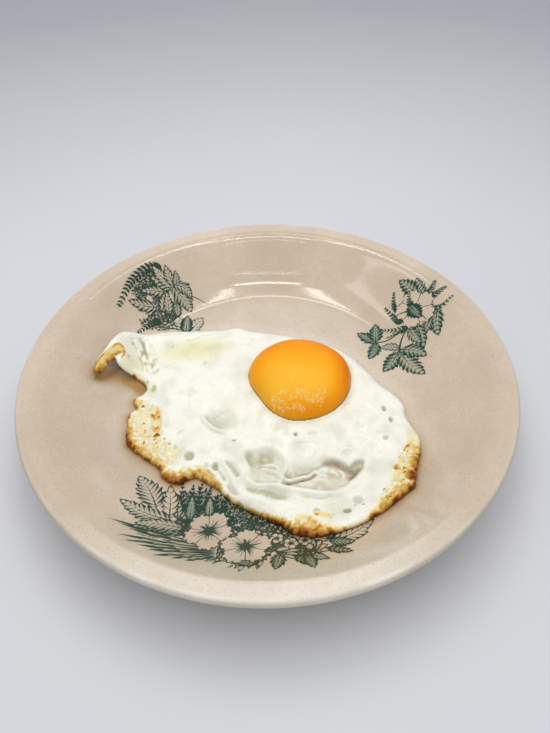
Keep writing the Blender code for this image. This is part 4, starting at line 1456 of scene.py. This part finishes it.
# each is a place painted darker, up to 1 where it is darkest: the plate
# glimmering through thin white at the pits, streaks and crack, and painted
# shade in the hollows, the pocket's recesses, under its lobe, on the blister
# and between the lace's bubbles
for darker_place in (
    pits, 0.95 * streaks, 0.60 * smooth_step(0.12, 0.75, sunk) * (from_edge > HOLLOW_REACH),
    0.36 * left_hollow + 0.24 * right_hollow,
    swelling(-1.6, -38.9, 4.8, 3.6, 20, 0.85 / MM) * (1 + 0.5 * uneven(2.4, 53)),
    swelling(-6.6, -39.6, 2.4, 4.4, 30, 0.75 / MM), lobe_front * lobe_shade,
    swelling(33.4, -43.2, 5.0, 3.0, 25, 1.1 / MM) * right_hollow,
    swelling(-19, -21, 5.6, 5, 0, 0.28 / MM), lacy * gaps * (0.30 + 0.40 * dots), 0.35 * crack,
):
    thin_and_shade = np.maximum(thin_and_shade, darker_place)
clear_ridges = np.clip(wrinkle + 0.8 * small_wrinkles, 0, 1)
thin_and_shade *= 1 - 0.8 * clear_ridges
print("thin over", int((thin_and_shade > 0.3).sum()), "points")

# %% Paint where it is juicy or stained, and painted shadow lines
# painted shadow lines under overhangs, partly brownish juice: path, width and strength
JUICE_AND_SHADOW_LINES = [
    ([(18, -42), (23.4, -40.8), (27.4, -42), (31, -44.8), (34, -44.4)], 1.5, 0.45),
    ([(30.4, -50.6), (34, -46.4), (36.4, -42.8)], 1.7, 0.62),
    ([(-5.4, -42.0), (0, -43.4), (5.4, -42.6)], 1.3, 0.36),
    ([(9, -47.2), (13, -46.4), (16.4, -46), (18.4, -44.6)], 1.1, 0.75),
]
# x, y, half length, half width, bearing and strength
YELLOW_STAINS = [(-34, 20, 16, 7, 8, 1.0), (57.6, -33, 2.6, 7, 0, 1.0), (-60, 9, 7, 6, 30, 0.6),
                 (-50, -4, 1.8, 3.6, 0, 0.9)]
# a yellower ring round the yolk, where it meets the white
COLLAR_YELLOW = 0.6
COLLAR_YELLOW_REACH = 1.8 * MM

juice_and_shade = 0.32 * right_hollow * (1 + 0.8 * uneven(3.2, 23))
for knots, width, strength in JUICE_AND_SHADOW_LINES:
    juice_and_shade += crease(knots, width, strength / MM)
# a painted shadow line under the wrinkle
juice_and_shade += crease(below_wrinkle[4:], 0.6, 0.65 / MM, taper=0.15)
juice_and_shade += 0.10 * streaks + 0.12 * left_hollow + 0.30 * crack * (0.5 + patches)
juice_and_shade *= 1 - 0.9 * clear_ridges
yellow = 0.2 * lacy + COLLAR_YELLOW * np.exp(-((from_yolk - reach) / COLLAR_YELLOW_REACH) ** 2)
yellow += soft_spots(YELLOW_STAINS)
pool = np.maximum.reduce([left_hollow, right_hollow, lobe_front, 0.5 * lacy])
layers = {"toast": toast, "thin_and_shade": thin_and_shade, "juice_and_shade": juice_and_shade, "yellow": yellow, "pool": pool}
for name, values in layers.items():
    paint(white_mesh, name, values)
print("painted", len(layers), "layers")

# %% Choose the cooked white's colours and grain
WHITE_WARM = (0.90, 0.87, 0.62)
# the skin's ramp from milky white through thin, glassy places and painted shade
THIN_AND_SHADE_STOPS = [(0.0, (0.92, 0.92, 0.83)), (0.35, (0.70, 0.71, 0.59)), (1.0, (0.36, 0.34, 0.17))]
# the ramp from pale juice to the dark brown of painted shadow lines
JUICE_AND_SHADE_STOPS = [(0.0, (0.86, 0.83, 0.73)), (0.35, (0.62, 0.55, 0.42)), (1.0, (0.20, 0.135, 0.065))]
TOAST_STOPS = [
    (0.0, (0.92, 0.92, 0.83)), (0.12, (0.89, 0.80, 0.50)), (0.26, (0.73, 0.50, 0.15)),
    (0.42, (0.51, 0.27, 0.045)), (0.62, (0.35, 0.12, 0.018)), (0.82, (0.23, 0.058, 0.012)),
    (1.0, (0.10, 0.028, 0.010)),
]
CRUST_GRAIN = 0.7 * MM
MOIST_GRAIN = 1.4 * MM
SKIN_GRAIN = 0.9 * MM
SKIN_DEPTH = 0.12 * MM
MOIST_ROUGHNESS = (0.20, 0.36)
POOL_ROUGHNESS = (0.07, 0.07, 0.07)
print(len(TOAST_STOPS), "tones from white to brown")

# %% Mix the cooked white
def make_cooked_white(name, shine, coat, glow):
    """The white's finish: a ramp for the crust over one for the milky skin."""
    finish, tree, shader = new_finish(name)
    toast_value = attribute(tree, "toast")
    fine = remap(tree, grain(tree, CRUST_GRAIN, detail=3), 0.3, 0.7, -0.16, 0.16)
    total = add_node(tree, "ShaderNodeMath", operation="MULTIPLY_ADD")
    tree.links.new(toast_value, total.inputs[0])
    tree.links.new(fine, total.inputs[1])
    tree.links.new(toast_value, total.inputs[2])
    crust = ramp(tree, total.outputs[0], TOAST_STOPS)
    # the skin is darker where it is thin and where shade is painted
    milk = ramp(tree, attribute(tree, "thin_and_shade"), THIN_AND_SHADE_STOPS)
    milk = mix(tree, attribute(tree, "yellow"), milk, WHITE_WARM, blend="MULTIPLY")
    # brownish juice and painted shadow lines
    juice_and_shade = attribute(tree, "juice_and_shade")
    milk = mix(tree, remap(tree, juice_and_shade, 0.02, 0.5, 0, 0.9), milk, ramp(tree, juice_and_shade, JUICE_AND_SHADE_STOPS))
    browned = remap(tree, toast_value, 0.03, 0.16)
    tree.links.new(mix(tree, browned, milk, crust), shader.inputs["Base Color"])
    moist = remap(tree, grain(tree, MOIST_GRAIN, detail=3), 0.35, 0.7, *MOIST_ROUGHNESS)
    wet = mix(tree, attribute(tree, "pool"), moist, POOL_ROUGHNESS)
    tree.links.new(wet, shader.inputs["Roughness"])
    set_inputs(shader, Subsurface_Weight=glow, Subsurface_Scale=0.8 * MM, IOR=1.38,
               Specular_IOR_Level=shine, Coat_Weight=coat, Coat_Roughness=0.12)
    shader.inputs["Subsurface Radius"].default_value = (1.0, 0.9, 0.7)
    bumps(tree, shader, grain(tree, SKIN_GRAIN, detail=3), SKIN_DEPTH)
    return finish


wet_white = make_cooked_white("cooked_white", 0.5, 0.25, 0.25)
dry_crust = make_cooked_white("fried_crust", 0.15, 0.0, 0.0)
place_piece("fried_white", white_mesh, [wet_white, dry_crust], "egg_white", 75)
print("the white has", len(white_mesh.materials), "finishes")

# %% Give the crust its dry finish
CRUST_FROM = 0.18
firsts = np.empty(len(white_mesh.polygons), int)
corners = np.empty(len(white_mesh.loops), int)
white_mesh.polygons.foreach_get("loop_start", firsts)
white_mesh.loops.foreach_get("vertex_index", corners)
crusty = toast[corners[firsts]] > CRUST_FROM
white_mesh.polygons.foreach_set("material_index", crusty.astype(np.int32))
print("crust over", int(crusty.sum()), "faces")

# %% [markdown]
# ## Light and shade painted on the plate
#
# The plate isn't one colour in the light. A painted warm shadow lies under
# the tail and a painted warm shade along the crust. Painted highlights lie on
# the lip's crest and on the band in front, which is also rougher; painted light
# lies on the floor behind the egg, in a halo round it and in painted
# reflections; and painted shade lies where the wall meets that band and at the
# lip's outer edge, with a few darker spots. Such marks follow the shape, so they
# are painted on the points of the plate and of its films.

# %% List where light and shade are painted on the plate
# how strong the painted warm shade along the crust is, and how far it reaches
WARM_SHADE_STRENGTH = 1.1
WARM_SHADE_REACH = 2.0 * MM
WARM_SHADE_SKIP = 5  # the crust's edge is followed at every fifth point
# where the painted highlights, painted light and painted shade lie on the plate
PALE_FROM = 93.9 * MM
PALE_FULL = 95.3 * MM
BAND_EDGE = 0.4 * MM
LIP_CREST = 100.2 * MM
LIP_SPREAD = 0.55 * MM
LIP_DEPTH = 1.6 * MM
FLOOR_SOLID, FLOOR_GONE = 56 * MM, 66 * MM
BEHIND_FROM, BEHIND_FULL = -20 * MM, 30 * MM
HALO_MIDDLE, HALO_WIDTH, HALO_LIMIT = 4 * MM, 3 * MM, 76 * MM
SHADE_FROM, SHADE_FULL = 80 * MM, 88 * MM
EDGE_FROM, EDGE_FULL = 100.7 * MM, 101.4 * MM
# painted reflections of the tent on the glaze: path, width and strength
PAINTED_REFLECTIONS = [
    ([(47.2, -66.5), (48.2, -72), (47.8, -76.6), (45.4, -82.8)], 1.2, 0.75),
    ([(49.8, -66.6), (51, -70.6), (52.4, -74.4), (53.6, -78.2)], 1.0, 0.6),
    ([(57.5, -59.5), (58.1, -65.4), (58, -73.2)], 1.6, 0.5),
    ([(66, -50), (64.6, -58), (61, -66)], 2.2, 0.35),
    ([(20, -87), (33.3, -84), (42, -83.3), (50, -78.5)], 2.4, 0.55),
    ([(-52, -59), (-49.5, -64), (-44, -69)], 2.0, 0.5),
    ([(-66, -44), (-62, -52), (-55, -60)], 2.6, 0.35),
]
# darker spots: x, y, half length, half width, bearing and strength
DARK_SPOTS = [(54.9, -72.2, 1.5, 3.2, 60, 0.9), (44.9, -75.4, 1.3, 2.6, 10, 0.6),
              (51.4, -69, 1.2, 2.4, 20, 0.5)]
# painted warm shadow under the tail and painted warm shade by the crust, in the same columns
WARM_SHADE_SPOTS = [(-66, 3, 12, 5, -10, 0.42), (-61.5, 2.4, 6.5, 2.8, -25, 0.6), (-56.5, -1.5, 3.2, 3.2, 0, 0.6),
             (-50, -41, 8, 3, -40, 0.16), (57, -63, 3, 4, 0, 0.14), (49, -67.5, 3, 4, 20, 0.14),
             (60, -46, 4, 8, 10, 0.10)]
print(len(PAINTED_REFLECTIONS), "reflections,", len(DARK_SPOTS), "dusky spots and", len(WARM_SHADE_SPOTS), "pools of oil")

# %% Paint light and shade on the plate and its films
sparse_edge, sparse_toast = edge_loop[::WARM_SHADE_SKIP], edge_toast[::WARM_SHADE_SKIP]


def paint_light(piece, out, front, back, away):
    """Painted light on the glaze: a painted highlight on the band, painted light
    on the floor behind the egg and in a halo round it, and painted reflections;
    the band in front is also made rougher."""
    # a painted highlight on the band, painted light on the floor behind the egg and in a halo round it, and
    # painted reflections
    painted_light = smooth_step(PALE_FROM, PALE_FULL, out) * (0.12 + 0.88 * front + 0.40 * back)
    floor_share = 1 - smooth_step(FLOOR_SOLID, FLOOR_GONE, out)
    painted_light += 0.4 * floor_share * smooth_step(BEHIND_FROM, BEHIND_FULL, plan[:, 1])
    painted_light += 0.35 * np.exp(-((away - HALO_MIDDLE) / HALO_WIDTH) ** 2) * (out < HALO_LIMIT)
    for knots, width, strength in PAINTED_REFLECTIONS:
        painted_light += crease(knots, width, strength / MM, taper=0.4)
    paint(piece.data, "painted_light", painted_light)
    paint(piece.data, "worn", (out > PALE_FROM) * painted_light * (plan[:, 1] < 0))


for piece in (plate, *films):
    spots = np.empty(3 * len(piece.data.vertices))
    piece.data.vertices.foreach_get("co", spots)
    plan, heights = spots.reshape(-1, 3)[:, :2], spots[2::3]
    away, place, _ = nearest_on(plan, sparse_edge)
    nearest_toast = sparse_toast[np.round(place).astype(int) % len(sparse_edge)]
    # painted warm shade along the crust and under the tail
    paint(piece.data, "warm_shade", WARM_SHADE_STRENGTH * nearest_toast * np.exp(-away / WARM_SHADE_REACH) + soft_spots(WARM_SHADE_SPOTS))
    out = np.maximum(np.hypot(plan[:, 0], plan[:, 1]), MM)
    front = smooth_step(0.7, 0.97, -plan[:, 1] / out)
    back = smooth_step(0.4, 0.9, plan[:, 1] / out)
    paint_light(piece, out, front, back, away)
    # a painted highlight along the lip's crest, patchy, strongest in front and behind
    lip_highlight = np.exp(-((out - LIP_CREST) / LIP_SPREAD) ** 2) * (heights > plate_high.z - LIP_DEPTH)
    patchy = np.clip(0.8 + 0.7 * uneven(9, 61), 0.2, 1.2)
    paint(piece.data, "lip_highlight", lip_highlight * patchy * (0.25 + 0.50 * front + 0.30 * back))
    # painted shade where the front wall meets the band and along the lip's outer edge at the sides, with the
    # darker spots
    painted_shade_and_spots = smooth_step(SHADE_FROM, SHADE_FULL, out) * smooth_step(0.75, 0.97, -plan[:, 1] / out)
    painted_shade_and_spots *= 1 - smooth_step(PALE_FROM - BAND_EDGE, PALE_FROM + BAND_EDGE, out)
    painted_shade_and_spots += 1.2 * smooth_step(EDGE_FROM, EDGE_FULL, out) * (1 - 0.7 * front - 0.7 * back)
    paint(piece.data, "painted_shade_and_spots", painted_shade_and_spots + soft_spots(DARK_SPOTS))
print("marked", len(films) + 1, "pieces")

# %% [markdown]
# ## The yolk
#
# The yolk is a drop held by a thin skin: a dome that rolls over into a
# narrow foot. It is spun like the plate and then made uneven: a little blunt
# in front and tucked in at its left. The film over its front half has set in
# fine beads that sparkle.

# %% Turn the yolk
YOLK_SIDES = 330
CROWN_STEPS = 96
BELLY_SHARES = (0.995, 0.97, 0.93, 0.85, 0.7, 0.5, 0.25, 0.0)

profile = []
for step in range(CROWN_STEPS + 1):
    angle = math.pi / 2 * (1 - step / CROWN_STEPS)
    profile.append((YOLK_RADIUS * math.cos(angle), YOLK_WAIST + YOLK_CROWN * math.sin(angle)))
profile += [(YOLK_RADIUS * part, float(yolk_belly(part))) for part in BELLY_SHARES]
bm = bmesh.new()
spin_profile(bm, profile, YOLK_SIDES)
yolk_mesh = bpy.data.meshes.new("yolk")
bm.to_mesh(yolk_mesh)
bm.free()
yolk_points = np.empty(3 * len(yolk_mesh.vertices))
yolk_mesh.vertices.foreach_get("co", yolk_points)
yolk_points = yolk_points.reshape(-1, 3)
yolk_share = np.hypot(*yolk_points[:, :2].T) / YOLK_RADIUS
stretch = yolk_reach(np.arctan2(yolk_points[:, 1], yolk_points[:, 0])) / YOLK_RADIUS
yolk_points[:, :2] *= stretch[:, None]
print("yolk", len(yolk_points), "points")

# %% Set the film's beads on it
BEAD_SEED = 5
# both ends from the yolk's axis, the spread to either side, in millimetres, and how many
BEAD_BANDS = [
    (-10.4, -15.2, -6.6, -19.2, 0.9, 90), (5.4, -17.2, 10.2, -13.6, 1.3, 110),
    (-7.4, -14.0, 2.6, -14.6, 0.6, 60), (-6.0, -19.6, 1.6, -20.0, 0.6, 50),
    (-4.0, -16.6, 4.0, -17.2, 1.2, 55), (-5.4, -7.2, -2.4, -6.6, 0.9, 8),
]
BEAD_SIZES = (0.20, 0.42)
BEAD_FULLNESS = 0.42
CROWN_FROM = 3 * MM
YOLK_UNEVENNESS = 0.16 * MM
YOLK_WAVE = 12 * MM

upper = smooth_step(YOLK_WAIST, YOLK_WAIST + CROWN_FROM, yolk_points[:, 2])
yolk_rise = YOLK_UNEVENNESS * roughness_at(yolk_points, YOLK_WAVE, 8)
bead_random = np.random.default_rng(BEAD_SEED)
beads = np.zeros(len(yolk_points))
for x0, y0, x1, y1, spread, count in BEAD_BANDS:
    for _ in range(count):
        along = bead_random.uniform(-0.1, 1.1)
        aside = bead_random.normal(0, spread, 2)
        spot = np.array((x0 + along * (x1 - x0) + aside[0], y0 + along * (y1 - y0) + aside[1])) * MM
        size = bead_random.uniform(*BEAD_SIZES) * MM
        near = np.flatnonzero(np.abs(yolk_points[:, :2] - spot).max(1) < size)
        away = np.hypot(*(yolk_points[near, :2] - spot).T) / size
        beads[near] = np.maximum(beads[near], BEAD_FULLNESS * size * np.clip(1 - away ** 2, 0, 1))
yolk_points[:, 2] += upper * (yolk_rise + beads)
yolk_points[:, :2] += (YOLK_X, YOLK_Y)
yolk_mesh.vertices.foreach_set("co", yolk_points.ravel())
print("beads up to", round(beads.max() / MM, 2), "mm")

# %% Paint the yolk's tone with its painted light and shade
FILM_FULL = 0.22 * MM

# its orange is palest low in its middle as painted light, and deepens as
# painted shade towards its back and right side and where it is steeper
away_x = (yolk_points[:, 0] - YOLK_X) / YOLK_RADIUS
away_y = (yolk_points[:, 1] - YOLK_Y) / YOLK_RADIUS
painted_light = (1 - smooth_step(-0.6, 0.65, away_y)) * (1 - 0.7 * smooth_step(0.5, 0.95, -away_y))
painted_light *= (1 - 0.65 * smooth_step(0.45, 0.95, -away_x)) * (1 - 0.7 * smooth_step(0.3, 1.0, away_x))
steep = smooth_step(0.55, 0.95, yolk_share) * np.clip(0.55 + 0.6 * away_x + 0.35 * away_y, 0, 1)
tone_and_shade = 0.62 * (1 - painted_light) + 0.34 * steep + 0.06 * roughness_at(yolk_points, 8 * MM, 31)
paint(yolk_mesh, "tone_and_shade", tone_and_shade)
paint(yolk_mesh, "film", beads / FILM_FULL)
print("its tone is on average", round(float(tone_and_shade.mean()), 2), "of the deepest")

# %% Mix the yolk
# its orange from the palest painted light to the deepest painted shade
YOLK_STOPS = [
    (0.0, (0.97, 0.50, 0.042)), (0.18, (0.97, 0.47, 0.032)), (0.36, (0.96, 0.42, 0.016)),
    (0.5, (0.95, 0.37, 0.009)), (0.64, (0.93, 0.32, 0.005)), (0.8, (0.86, 0.25, 0.003)),
    (1.0, (0.76, 0.18, 0.002)),
]
# the beads' pale film, made paler still as a painted glint
BEAD_FILM_AND_GLINT = (0.99, 0.80, 0.38)
YOLK_GLOW = 1.5 * MM
YOLK_GRAIN = 1.3 * MM
YOLK_GRAIN_DEPTH = 0.02 * MM


def make_yolk_finish():
    """The yolk's finish: one ramp for its tone with its painted light and shade,
    and a pale film on its beads, paler still as a painted glint.
    """
    finish, tree, shader = new_finish("yolk")
    tone = ramp(tree, attribute(tree, "tone_and_shade"), YOLK_STOPS)
    film = attribute(tree, "film")
    filmed = remap(tree, film, 0.1, 0.9, 0.0, 0.85)
    tree.links.new(mix(tree, filmed, tone, BEAD_FILM_AND_GLINT), shader.inputs["Base Color"])
    tree.links.new(remap(tree, film, 0.0, 0.6, 0.05, 0.8), shader.inputs["Coat Weight"])
    set_inputs(shader, Roughness=0.34, Specular_IOR_Level=0.10, Subsurface_Weight=0.3,
               Subsurface_Scale=YOLK_GLOW, IOR=1.4, Coat_Roughness=0.05)
    shader.inputs["Subsurface Radius"].default_value = (1.0, 0.5, 0.12)
    bumps(tree, shader, grain(tree, YOLK_GRAIN, detail=2), YOLK_GRAIN_DEPTH)
    return finish


place_piece("yolk_dome", yolk_mesh, [make_yolk_finish()], "egg_yolk")
